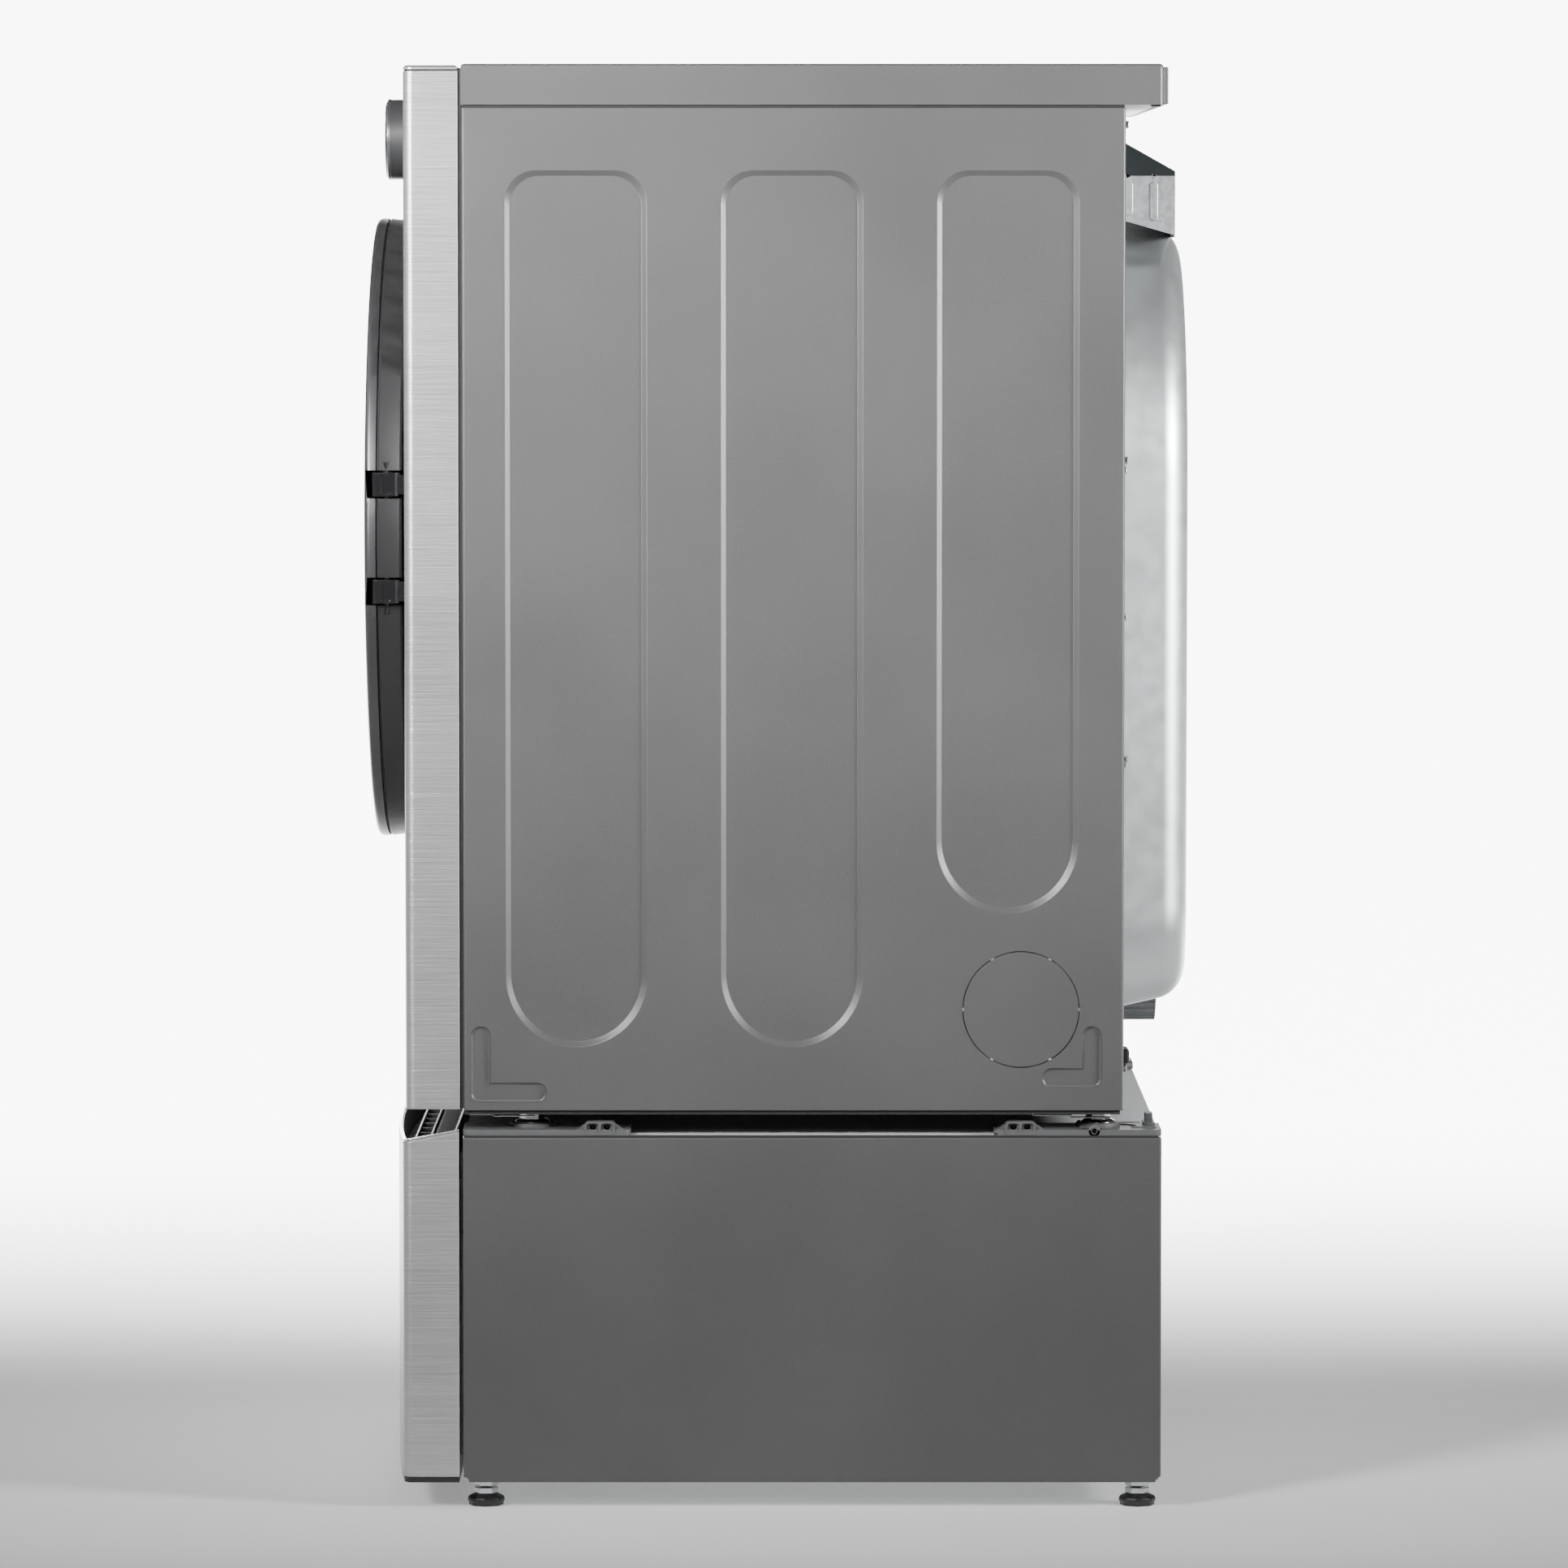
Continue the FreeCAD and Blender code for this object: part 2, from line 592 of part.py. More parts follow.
def base_pan():
    x = HALF - SHEET - HOOK_DEPTH - FIT
    y0 = SIDE_FRONT + SHEET + FIT
    y1 = REAR_Y - 2 * SHEET - 2 * FIT
    outer = block(-x, x, y0, y1, PAN_BOTTOM, PAN_BOTTOM + PAN_WALL)
    inner = block(-x + SHEET, x - SHEET, y0 + SHEET, y1 - SHEET,
                  PAN_BOTTOM + SHEET, PAN_BOTTOM + PAN_WALL + OVER)
    holes = [rod_z(FOOT_STUD_R + FIT, side * MACHINE_FOOT_X, y, PAN_BOTTOM - OVER, PAN_BOTTOM + PAST)
             for side in (-1, 1) for y in MACHINE_FOOT_Y]
    return outer.cut([inner] + holes)


def machine_feet():
    floor = PEDESTAL_HEIGHT + BRACKET_THICK
    feet = []
    for y in MACHINE_FOOT_Y:
        pad = rod_z(MACHINE_FOOT_R, MACHINE_FOOT_X, y, floor, floor + MACHINE_PAD)
        hexed = hexagon(HEX_ACROSS, MACHINE_FOOT_X, y, floor + MACHINE_PAD, PAN_BOTTOM)
        stud = rod_z(FOOT_STUD_R, MACHINE_FOOT_X, y, PAN_BOTTOM - OVER, PAN_BOTTOM + MACHINE_STUD)
        feet.append(join([pad, hexed, stud]))
    return Part.makeCompound(feet + [mirrored(foot) for foot in feet])


# ---- drum and its surroundings ----
BULKHEAD_Y = FRONT_Y + 76.0
FLANGE_R = DRUM_R - DRUM_LIP - SEAL_GAP - SEAL
REAR_HOLE_R = 200.0
REAR_PLATE_Y = DRUM_REAR + 3.0
FILTER_Y = (FRONT_Y + 52.0, FRONT_Y + 52.0 + FILTER_THICK)
BLOWER_FRONT = FRONT_Y + 112.0
BLOWER_REAR = BLOWER_FRONT + 92.0
LINT_LOW = MOTOR_Z + 88.0
HEATER_PORT_X = (140.0, 230.0)
HEATER_PORT_Z = (MOTOR_Z + 30.0, MOTOR_Z + 80.0)
BULKHEAD_LOW = LINT_LOW + 4.0
BULKHEAD_HIGH = SIDE_TOP - 6.0
MOUTH_END = DRUM_FRONT + 10.0
FLANGE_END = DRUM_FRONT + 12.0
AIR_HOLE_R = 5.0
AIR_ROWS = ((150.0, 24), (120.0, 18), (90.0, 12), (60.0, 8))   # circle radius and number of holes
REAR_DISC_R = DRUM_R - 4.0
SPACER_R = REAR_HOLE_R + 30.0
SPACER_WALL = 2.0
FRONT_SEAL_Y = (DRUM_FRONT - 6.0, DRUM_FRONT + 8.0)
REAR_SEAL_R = (DRUM_R - 6.0, DRUM_R - 16.0)
REAR_SEAL_Y = (DRUM_REAR + SEAL_GAP, REAR_PLATE_Y)


def front_bulkhead():
    y0 = BULKHEAD_Y
    side = HALF - FLANGE - OVER
    plate = block(-side, side, y0, y0 + SHEET, BULKHEAD_LOW, BULKHEAD_HIGH)
    plate = plate.cut(rod_y(MOUTH_R + FRONT_SHEET, 0, AXIS_Z, y0 - OVER, y0 + PAST))
    flange = ring_y(FLANGE_R, FLANGE_R - FRONT_SHEET, 0, AXIS_Z, y0, FLANGE_END)
    return join([plate, flange])


def mouth_tunnel():
    tunnel = ring_y(MOUTH_R + FRONT_SHEET, MOUTH_R, 0, AXIS_Z, FRONT_Y + FRONT_SHEET, MOUTH_END)
    x = FILTER_HALF + FILTER_ROOM
    slot = block(-x, x, FILTER_Y[0] - FILTER_ROOM, FILTER_Y[1] + FILTER_ROOM,
                 AXIS_Z - MOUTH_R - PAST, AXIS_Z - FILTER_HALF)
    return tunnel.cut(slot)


def rear_bulkhead():
    disc = rod_y(REAR_DISC_R, 0, AXIS_Z, REAR_PLATE_Y, REAR_PLATE_Y + SHEET)
    spacer = ring_y(SPACER_R, SPACER_R - SPACER_WALL, 0, AXIS_Z, REAR_PLATE_Y, REAR_PANEL_FRONT)
    holes = []
    for row, count in AIR_ROWS:
        for step in range(count):
            angle = 2 * math.pi * step / count
            holes.append(rod_y(AIR_HOLE_R, row * math.cos(angle), AXIS_Z + row * math.sin(angle),
                               REAR_PLATE_Y - OVER, REAR_PLATE_Y + SHEET + OVER))
    return join([disc, spacer]).cut(holes)


def drum_seals():
    front = ring_y(FLANGE_R + SEAL, FLANGE_R, 0, AXIS_Z, *FRONT_SEAL_Y)
    rear = ring_y(*REAR_SEAL_R, 0, AXIS_Z, *REAR_SEAL_Y)
    return Part.makeCompound([front, rear])


def drum_shell():
    shell = ring_y(DRUM_R, DRUM_R - SHEET, 0, AXIS_Z, DRUM_FRONT, DRUM_REAR)
    lips = [ring_y(DRUM_R, DRUM_R - DRUM_LIP, 0, AXIS_Z, DRUM_FRONT, DRUM_FRONT + SHEET),
            ring_y(DRUM_R, DRUM_R - DRUM_LIP, 0, AXIS_Z, DRUM_REAR - SHEET, DRUM_REAR)]
    return join([shell] + lips)


def drum_lifters():
    inner = DRUM_R - SHEET
    root = inner * math.cos(math.asin(LIFTER_WIDTH / 2 / inner))
    crest = inner - LIFTER_HEIGHT
    start = DRUM_FRONT + LIFTER_INSET
    corners = [(-LIFTER_WIDTH / 2, root), (LIFTER_WIDTH / 2, root),
               (LIFTER_CREST / 2, crest), (-LIFTER_CREST / 2, crest)]
    points = [point(x, start, AXIS_Z - z) for x, z in corners]
    length = DRUM_REAR - LIFTER_INSET - start
    ridge = Part.Face(Part.makePolygon(points + points[:1])).extrude(point(0, length, 0))
    ridges = []
    for step in range(LIFTER_COUNT):
        turned = ridge.copy()
        turned.rotate(point(0, 0, AXIS_Z), Y_AXIS, 360.0 / LIFTER_COUNT * step + LIFTER_TURN)
        ridges.append(turned)
    return Part.makeCompound(ridges)


def roller_centre(side):
    reach = DRUM_R + ROLLER_R + FIT
    angle = math.radians(ROLLER_ANGLE)
    return side * reach * math.sin(angle), AXIS_Z - reach * math.cos(angle)


def roller(side):
    x, z = roller_centre(side)
    start = DRUM_REAR - ROLLER_INSET - ROLLER_WIDTH
    return ring_y(ROLLER_R, SHAFT_R + RUNNING, x, z, start, start + ROLLER_WIDTH)


def roller_shafts():
    shafts = []
    start = DRUM_REAR - ROLLER_INSET - ROLLER_WIDTH
    for side in (-1, 1):
        x, z = roller_centre(side)
        pin = rod_y(SHAFT_R, x, z, start - PAST + OVER, REAR_PANEL_FRONT)
        rear = start + ROLLER_WIDTH + OVER
        collars = [rod_y(COLLAR_R, x, z, start - 3 * OVER, start - OVER),
                   rod_y(COLLAR_R, x, z, rear, rear + PAST)]
        shafts.append(join([pin] + collars))
    return Part.makeCompound(shafts)


# ---- drive and air path ----
def tangent_hull(big, small, y0, y1):
    """Solid round two circles in x and z, joined by their outer tangents."""
    (x1, z1, r1), (x2, z2, r2) = big, small
    distance = math.hypot(x2 - x1, z2 - z1)
    along = math.atan2(z2 - z1, x2 - x1)
    spread = math.acos((r1 - r2) / distance)
    points = []
    for sign, order in ((1, ((x1, z1, r1), (x2, z2, r2))), (-1, ((x2, z2, r2), (x1, z1, r1)))):
        angle = along + sign * spread
        points += [point(x + r * math.cos(angle), y0, z + r * math.sin(angle)) for x, z, r in order]
    web = Part.Face(Part.makePolygon(points + points[:1])).extrude(point(0, y1 - y0, 0))
    return join([rod_y(r1, x1, z1, y0, y1), rod_y(r2, x2, z2, y0, y1), web])


def belt_hull(extra, y0, y1):
    return tangent_hull((0, AXIS_Z, DRUM_R + FIT + extra), (MOTOR_X, MOTOR_Z, PULLEY_R + FIT + extra), y0, y1)


def drive_belt():
    y0 = BELT_Y - BELT_WIDTH / 2
    y1 = BELT_Y + BELT_WIDTH / 2
    return belt_hull(BELT, y0, y1).cut(belt_hull(0, y0 - OVER, y1 + OVER))


def idler_centre():
    """Centre of the idler pulley, against the outside of the belt's right run."""
    distance = math.hypot(MOTOR_X, AXIS_Z - MOTOR_Z)
    along = math.atan2(MOTOR_Z - AXIS_Z, MOTOR_X)
    angle = along + math.acos((DRUM_R - PULLEY_R) / distance)
    reach = PULLEY_R + FIT + BELT + FIT + IDLER_R
    return (MOTOR_X + reach * math.cos(angle) - IDLER_RUN * math.sin(angle),
            MOTOR_Z + reach * math.sin(angle) + IDLER_RUN * math.cos(angle))


def idler_pulley():
    x, z = idler_centre()
    return ring_y(IDLER_R, SHAFT_R + RUNNING, x, z, BELT_Y - IDLER_WIDTH / 2, BELT_Y + IDLER_WIDTH / 2)


IDLER_PIVOT = (MOTOR_X + 62.0, MOTOR_Z - 60.0)
ARM_Y = BELT_Y + IDLER_WIDTH / 2 + OVER
MOTOR_Y = BELT_Y + MOTOR_GAP
FLOOR_Z = PAN_BOTTOM + SHEET          # upper face of the base pan
LUG_HALF = 12.0
HOUSING_SIDE = DUCT_R + 2 * HOUSING_WALL


def idler_arm():
    x, z = idler_centre()
    px, pz = IDLER_PIVOT
    pivot_r, tip_r = ARM_R
    arm = tangent_hull((px, pz, pivot_r), (x, z, tip_r), ARM_Y, ARM_Y + ARM_THICK)
    arm = arm.cut(rod_y(SHAFT_R + RUNNING, px, pz, ARM_Y - OVER, ARM_Y + ARM_THICK + OVER))
    front = BELT_Y - IDLER_WIDTH / 2 - OVER
    pin = rod_y(SHAFT_R, x, z, front - OVER, ARM_Y + OVER)
    head = rod_y(COLLAR_R, x, z, front - 3 * OVER, front)
    return join([arm, pin, head])


def motor_body():
    left, right, front, rear, below = MOTOR_BASE
    case = rod_y(MOTOR_R, MOTOR_X, MOTOR_Z, MOTOR_Y, MOTOR_Y + MOTOR_LENGTH)
    bore = rod_y(SHAFT_R + RUNNING, MOTOR_X, MOTOR_Z, MOTOR_Y - OVER, MOTOR_Y + SHAFT_BORE)
    base = block(MOTOR_X + left, MOTOR_X + right, MOTOR_Y + front, MOTOR_Y + rear, FLOOR_Z, MOTOR_Z - below)
    px, pz = IDLER_PIVOT
    lug = block(px - LUG_HALF, px + LUG_HALF, ARM_Y + ARM_THICK + 3 * OVER, MOTOR_Y + 3 * OVER,
                FLOOR_Z, pz + LUG_HALF)
    pin = rod_y(SHAFT_R, px, pz, ARM_Y - OVER, MOTOR_Y + OVER)
    return join([case.cut(bore), base.cut(bore), lug, pin])


def motor_shaft():
    front = BLOWER_FRONT + WHEEL_FRONT + LUG_HALF
    shaft = rod_y(SHAFT_R, MOTOR_X, MOTOR_Z, front, MOTOR_Y + SHAFT_BORE - PAST)
    pulley = rod_y(PULLEY_R, MOTOR_X, MOTOR_Z, BELT_Y - IDLER_WIDTH / 2, BELT_Y + IDLER_WIDTH / 2)
    face = BELT_WIDTH / 2 + OVER
    cheeks = [rod_y(CHEEK_R, MOTOR_X, MOTOR_Z, BELT_Y - face - CHEEK, BELT_Y - face),
              rod_y(CHEEK_R, MOTOR_X, MOTOR_Z, BELT_Y + face, BELT_Y + face + CHEEK)]
    return join([shaft, pulley] + cheeks)


def blower_wheel():
    y0 = BLOWER_FRONT + WHEEL_FRONT
    y1 = BLOWER_REAR - WHEEL_REAR
    plate = rod_y(BLOWER_R, MOTOR_X, MOTOR_Z, y1 - WHEEL_PLATE, y1)
    hub = rod_y(WHEEL_HUB_R, MOTOR_X, MOTOR_Z, y0 + WHEEL_HUB_INSET, y1)
    hoop = ring_y(BLOWER_R, BLOWER_R - WHEEL_HOOP, MOTOR_X, MOTOR_Z, y0, y0 + WHEEL_PLATE)
    vane = block(BLOWER_R - WHEEL_HOOP + OVER, BLOWER_R - OVER, y0 + OVER, y1 - OVER,
                 -VANE_THICK / 2, VANE_THICK / 2)
    vanes = []
    for step in range(VANE_COUNT):
        turned = vane.copy()
        turned.rotate(point(0, 0, 0), Y_AXIS, 360 / VANE_COUNT * step)
        turned.translate(point(MOTOR_X, 0, MOTOR_Z))
        vanes.append(turned)
    bore = rod_y(SHAFT_R, MOTOR_X, MOTOR_Z, y0, y1 + OVER)
    return join([plate, hub, hoop] + vanes).cut(bore)


def blower_housing():
    wall = HOUSING_WALL
    space_r = BLOWER_R + HOUSING_ROOM
    outer = join([block(-HOUSING_SIDE, MOTOR_X, BLOWER_FRONT, BLOWER_REAR, FLOOR_Z, MOTOR_Z + HOUSING_TOP),
                  rod_y(space_r + wall, MOTOR_X, MOTOR_Z, BLOWER_FRONT, BLOWER_REAR)])
    space = join([rod_y(space_r, MOTOR_X, MOTOR_Z, BLOWER_FRONT + wall, BLOWER_REAR - wall),
                  block(-HOUSING_SIDE + wall, MOTOR_X, BLOWER_FRONT + wall, BLOWER_REAR - wall,
                        DUCT_Z - DUCT_R, MOTOR_Z + HOUSING_TOP - wall)])
    inlet = rod_y(INLET_R, MOTOR_X, MOTOR_Z, BLOWER_FRONT - OVER, BLOWER_FRONT + PAST)
    outlet = rod_y(DUCT_R - DUCT_WALL, 0, DUCT_Z, BLOWER_REAR - PAST, BLOWER_REAR + OVER)
    shaft = rod_y(SHAFT_R + OVER, MOTOR_X, MOTOR_Z, BLOWER_REAR - PAST, BLOWER_REAR + OVER)
    return outer.cut([space, inlet, outlet, shaft])


def lint_duct():
    wall = LINT_WALL
    y0 = FILTER_Y[0] - 2 * wall
    right = MOTOR_X + LINT_REACH
    half = FILTER_HALF + 2 * wall
    well_y0 = SIDE_FRONT + 2 * SHEET + 2 * FIT
    throat = LINT_LOW - PAST * wall
    tall = block(-half, half, y0, BULKHEAD_Y, throat - wall, AXIS_Z - FILTER_HALF)
    well = block(-half, right, well_y0, BLOWER_FRONT, FLOOR_Z, LINT_LOW)
    tall_space = block(-half + wall, half - wall, y0 + wall, BULKHEAD_Y - wall, throat, AXIS_Z)
    well_space = block(-half + wall, right - wall, well_y0 + wall, BLOWER_FRONT - wall,
                       FLOOR_Z + wall, LINT_LOW - wall)
    inlet = rod_y(INLET_R, MOTOR_X, MOTOR_Z, BLOWER_FRONT - PAST, BLOWER_FRONT + OVER)
    mouth = rod_y(MOUTH_R + FRONT_SHEET, 0, AXIS_Z, y0 - PAST, BULKHEAD_Y + PAST)
    return join([tall, well]).cut([tall_space, well_space, inlet, mouth])


def lint_filter():
    y0, y1 = FILTER_Y
    rim = FILTER_RIM
    mouth_z = AXIS_Z - MOUTH_R
    bottom = mouth_z - FILTER_DEPTH
    body = block(-FILTER_HALF, FILTER_HALF, y0, y1, bottom, AXIS_Z - FILTER_HALF)
    body = body.cut(rod_y(MOUTH_R + OVER, 0, AXIS_Z, y0 - OVER, y1 + OVER))
    pane = block(-FILTER_HALF + rim, FILTER_HALF - rim, y0 + PAST, y1 + OVER, bottom + rim, mouth_z - 2 * rim)
    grip = block(-FILTER_GRIP, FILTER_GRIP, y0 + rim / 2, y1 - rim / 2, mouth_z - rim, mouth_z + rim)
    return join([body.cut(pane), grip])


def heater_box():
    x0, x1 = HEATER_X
    y0 = REAR_PANEL_FRONT - HEATER_DEPTH
    y1 = REAR_PANEL_FRONT
    wall = HEATER_WALL
    top = HEATER_PORT_Z[1] + HEATER_OVER_PORT
    outer = block(x0, x1, y0, y1, FLOOR_Z, top)
    space = block(x0 + wall, x1 - wall, y0 + wall, y1 - wall, FLOOR_Z + HEATER_FLOOR, top - wall)
    port = block(*HEATER_PORT_X, y1 - PAST, y1 + OVER, *HEATER_PORT_Z)
    low, high = INTAKE_HEIGHT
    intake = block(*INTAKE_X, y0 - PAST, y0 + PAST, FLOOR_Z + low, FLOOR_Z + high)
    pan_wall = block(x0 - OVER, x1 + OVER, y1 - 2 * SHEET - FIT, y1 + OVER,
                     PAN_BOTTOM, PAN_BOTTOM + PAN_WALL + FIT)
    return outer.cut([space, port, intake, pan_wall])


# ---- controls ----
def selector_knob():
    front = FRONT_Y - KNOB_STAND
    body = rod_y(KNOB_R, 0, KNOB_Z, front, FRONT_Y - KNOB_GAP)
    body = rounded(body, KNOB_EDGE_R, lambda e: e.BoundBox.YMax < front + NEAR and e.Length > KNOB_R)
    shaft = rod_y(SHAFT_R, 0, KNOB_Z, FRONT_Y - KNOB_GAP - OVER, FRONT_Y + KNOB_SHAFT)
    width, proud, start, inset = POINTER
    pointer = block(-width / 2, width / 2, front - proud, front + 2 * OVER,
                    KNOB_Z + start, KNOB_Z + KNOB_R - inset)
    return join([body, shaft, pointer])


def push_button(x):
    cap = rod_y(BUTTON_R, x, KNOB_Z, FRONT_Y - BUTTON_STAND, FRONT_Y + BUTTON_DEPTH)
    return join([cap, rod_y(STEM_R, x, KNOB_Z, FRONT_Y + BUTTON_DEPTH - OVER, FRONT_Y + STEM_END)])


def control_board():
    left, right = BOARD_X
    back = BOARD_Y + BOARD_THICK
    high = BOARD_HALF + CARRIER_RIM
    board = block(left, right, BOARD_Y, back, KNOB_Z - BOARD_HALF, KNOB_Z + BOARD_HALF)
    carrier = block(left - CARRIER_RIM, right + CARRIER_RIM, back, back + CARRIER_DEPTH,
                    KNOB_Z - high, KNOB_Z + high)
    return join([board, carrier])


# ---- door ----
DOOR_RIM = FRONT_Y - DOOR_STAND
DOOR_SPLIT = DOOR_RIM + DOOR_FRONT_BAND
DOOR_BACK = FRONT_Y - DOOR_BACK_GAP
STRIKER_X = -262.0


def hinge_levels():
    return [AXIS_Z - HINGE_BELOW + side * HINGE_SPREAD / 2 for side in (-1, 1)]


def hinge_notches():
    reach = HINGE_BLOCK * NOTCH_SHARE
    half = HINGE_BLOCK_HEIGHT / 2 + NOTCH_ROOM
    return [rod_z(reach, HINGE_X, HINGE_Y, z - half, z + half) for z in hinge_levels()]


def hinge_pin(radius, z):
    reach = HINGE_BLOCK_HEIGHT / 2 + HINGE_PIN_OUT
    return rod_z(radius, HINGE_X, HINGE_Y, z - reach, z + reach)


def door_front_ring():
    ring = ring_y(DOOR_R, DOOR_WINDOW_R, 0, AXIS_Z, DOOR_RIM, DOOR_SPLIT)
    widest = 2 * (DOOR_R - OVER)
    ring = rounded(ring, DOOR_EDGE_R,
                   lambda e: e.BoundBox.YMax < DOOR_RIM + NEAR and e.BoundBox.XLength > widest)
    return ring.cut(hinge_notches())


def door_rear_ring():
    start = DOOR_SPLIT + DOOR_SEAM
    cone = Part.makeCone(DOOR_R, DOOR_R - DOOR_TAPER, DOOR_BACK - start, point(0, start, AXIS_Z), Y_AXIS)
    ring = cone.cut(rod_y(DOOR_LINER_R, 0, AXIS_Z, start - OVER, DOOR_BACK + OVER))
    ring = ring.cut(hinge_notches() + [hinge_pin(HINGE_PIN_R + RUNNING, z) for z in hinge_levels()])
    thick, tall, reach = STRIKER
    striker = block(STRIKER_X - thick / 2, STRIKER_X + thick / 2, DOOR_BACK - OVER, FRONT_Y + reach,
                    AXIS_Z - tall / 2, AXIS_Z + tall / 2)
    outer, inner = BOLT_RING
    bolts = ring_y(DOOR_LINER_R + outer, DOOR_LINER_R + inner, 0, AXIS_Z, DOOR_SPLIT, start + OVER)
    return join([ring, striker, bolts])


def door_glass():
    rise = DOOR_DOME
    rim = DOOR_WINDOW_R - GLASS_FIT
    radius = (rim * rim + rise * rise) / (2 * rise)
    centre_y = DOOR_RIM - rise + radius
    ball = Part.makeSphere(radius, point(0, centre_y, AXIS_Z))
    slab = rod_y(rim, 0, AXIS_Z, DOOR_RIM - rise - OVER, DOOR_RIM + GLASS)
    inner = Part.makeSphere(radius - GLASS, point(0, centre_y, AXIS_Z))
    return slab.common(ball).cut(inner)


def bowl_solid(wall):
    start = DOOR_SPLIT + DOOR_SEAM + (0 if wall else OVER)
    end = FRONT_Y + BOWL_DEPTH - wall
    rim = DOOR_LINER_R - GLASS_FIT - wall
    body = Part.makeCone(rim, BOWL_END_R - wall, end - start, point(0, start, AXIS_Z), Y_AXIS)
    return rounded(body, BOWL_R, lambda e: e.BoundBox.YMin > end - NEAR and e.BoundBox.XLength > BOWL_R)


def door_bowl():
    return bowl_solid(0).cut(bowl_solid(GLASS))


def door_hinge_bracket():
    half = HINGE_BLOCK / 2
    thick, reach = HINGE_PLATE
    left, right, inset = HINGE_ARM
    back = FRONT_Y + FRONT_SHEET
    parts = [block(HINGE_X - half, HINGE_X + half, back, back + thick, AXIS_Z - reach, AXIS_Z + reach)]
    for z in hinge_levels():
        tall = HINGE_BLOCK_HEIGHT / 2
        knuckle = block(HINGE_X - half, HINGE_X + half, HINGE_Y - half, HINGE_Y + half, z - tall, z + tall)
        parts.append(rounded(knuckle, HINGE_CORNER_R, is_vertical))
        parts.append(block(HINGE_X - left, HINGE_X + right, HINGE_Y, FRONT_Y,
                           z - tall + inset, z + tall - inset))
        parts.append(hinge_pin(HINGE_PIN_R, z))
    return Part.makeCompound([join(parts[1:4]), join(parts[4:7]), parts[0]])


def latch_slot(y0, y1):
    wide, high = LATCH_SLOT
    return block(STRIKER_X - wide, STRIKER_X + wide, y0, y1, AXIS_Z - high, AXIS_Z + high)


def door_latch():
    wide, deep, high = LATCH_CASE
    case = block(STRIKER_X - wide, STRIKER_X + wide, FRONT_Y + FRONT_SHEET, FRONT_Y + deep,
                 AXIS_Z - high, AXIS_Z + high)
    return case.cut(latch_slot(FRONT_Y, FRONT_Y + deep - 4 * OVER))


# ---- pedestal ----
def pedestal_cabinet():
    outer = block(-HALF, HALF, SIDE_FRONT, PED_REAR, PED_BOTTOM, PED_SIDE_TOP)
    outer = rounded(outer, PED_EDGE_R, lambda e: is_vertical(e) and e.BoundBox.YMin > PED_REAR - OVER)
    inner = block(-HALF + FRONT_SHEET, HALF - FRONT_SHEET, SIDE_FRONT - OVER, PED_REAR - FRONT_SHEET,
                  PED_BOTTOM - OVER, PED_SIDE_TOP + OVER)
    notches = [Part.makeCylinder(PED_NOTCH_R, WIDTH + 2 * PAST, point(-HALF - PAST, y, PED_BOTTOM), X_AXIS)
               for y in (SIDE_FRONT, PED_REAR)]
    return outer.cut([inner] + notches)


def foot_places():
    front = SIDE_FRONT + FOOT_FRONT_IN
    rear = PED_REAR - FOOT_REAR_IN
    return {"foot_front_left": (-FOOT_X, front), "foot_front_right": (FOOT_X, front),
            "foot_rear_left": (-FOOT_X, rear), "foot_rear_right": (FOOT_X, rear)}


def pedestal_base():
    x = HALF - FRONT_SHEET - FIT
    rear = PED_REAR - FRONT_SHEET - FIT
    low = PED_BOTTOM + BASE_RISE
    side_margin, front_margin = BASE_MARGIN
    plate = block(-x, x, SIDE_FRONT, rear, low, low + BASE_THICK)
    window = block(-x + side_margin, x - side_margin, SIDE_FRONT + front_margin, rear - side_margin,
                   PED_BOTTOM, low + PAST)
    walls = both_sides(block(x - BASE_THICK, x, SIDE_FRONT, rear, low, PED_BOTTOM + BASE_FLANGE)).Solids
    studs = [rod_z(FOOT_STUD_R + FIT, fx, fy, PED_BOTTOM, low + PAST) for fx, fy in foot_places().values()]
    return join([plate] + walls).cut([window] + studs)


def pedestal_top_frame():
    x = HALF - FRONT_SHEET - FIT
    rear = PED_REAR - FRONT_SHEET - FIT
    plate = block(-x, x, SIDE_FRONT, rear, PEDESTAL_HEIGHT - TOP_THICK, PEDESTAL_HEIGHT)
    lip = block(-x, x, SIDE_FRONT, SIDE_FRONT + TOP_THICK, PEDESTAL_HEIGHT - TOP_LIP, PEDESTAL_HEIGHT)
    return join([plate, lip])


def bracket(y0, y1, boss_y):
    z0 = PEDESTAL_HEIGHT
    z1 = z0 + BRACKET_THICK
    x1 = HALF - BRACKET_INSET
    x0 = x1 - BRACKET_WIDTH
    plate = block(x0, x1, y0, y1, z0, z1)
    half = BOSS_LENGTH / 2
    wing = half + BOSS_WING
    profile = [(boss_y - wing, z1 - OVER), (boss_y - half, z1 + BOSS_RISE), (boss_y + half, z1 + BOSS_RISE),
               (boss_y + wing, z1 - OVER)]
    points = [point(x1 - BOSS_WIDTH, y, z) for y, z in profile]
    boss = Part.Face(Part.makePolygon(points + points[:1])).extrude(point(BOSS_WIDTH, 0, 0))
    holes = []
    for side in (-1, 1):
        start = point(x1 - SCREW_HOLE, boss_y + side * SCREW_PITCH / 2, z1 + SCREW_RISE)
        holes.append(Part.makeCylinder(SCREW_R + OVER, SCREW_HOLE + OVER, start, X_AXIS))
    return join([plate, boss]).cut(holes)


BOSS_Y = (SIDE_FRONT + BOSS_FROM_FRONT, PED_REAR - BOSS_FROM_REAR)


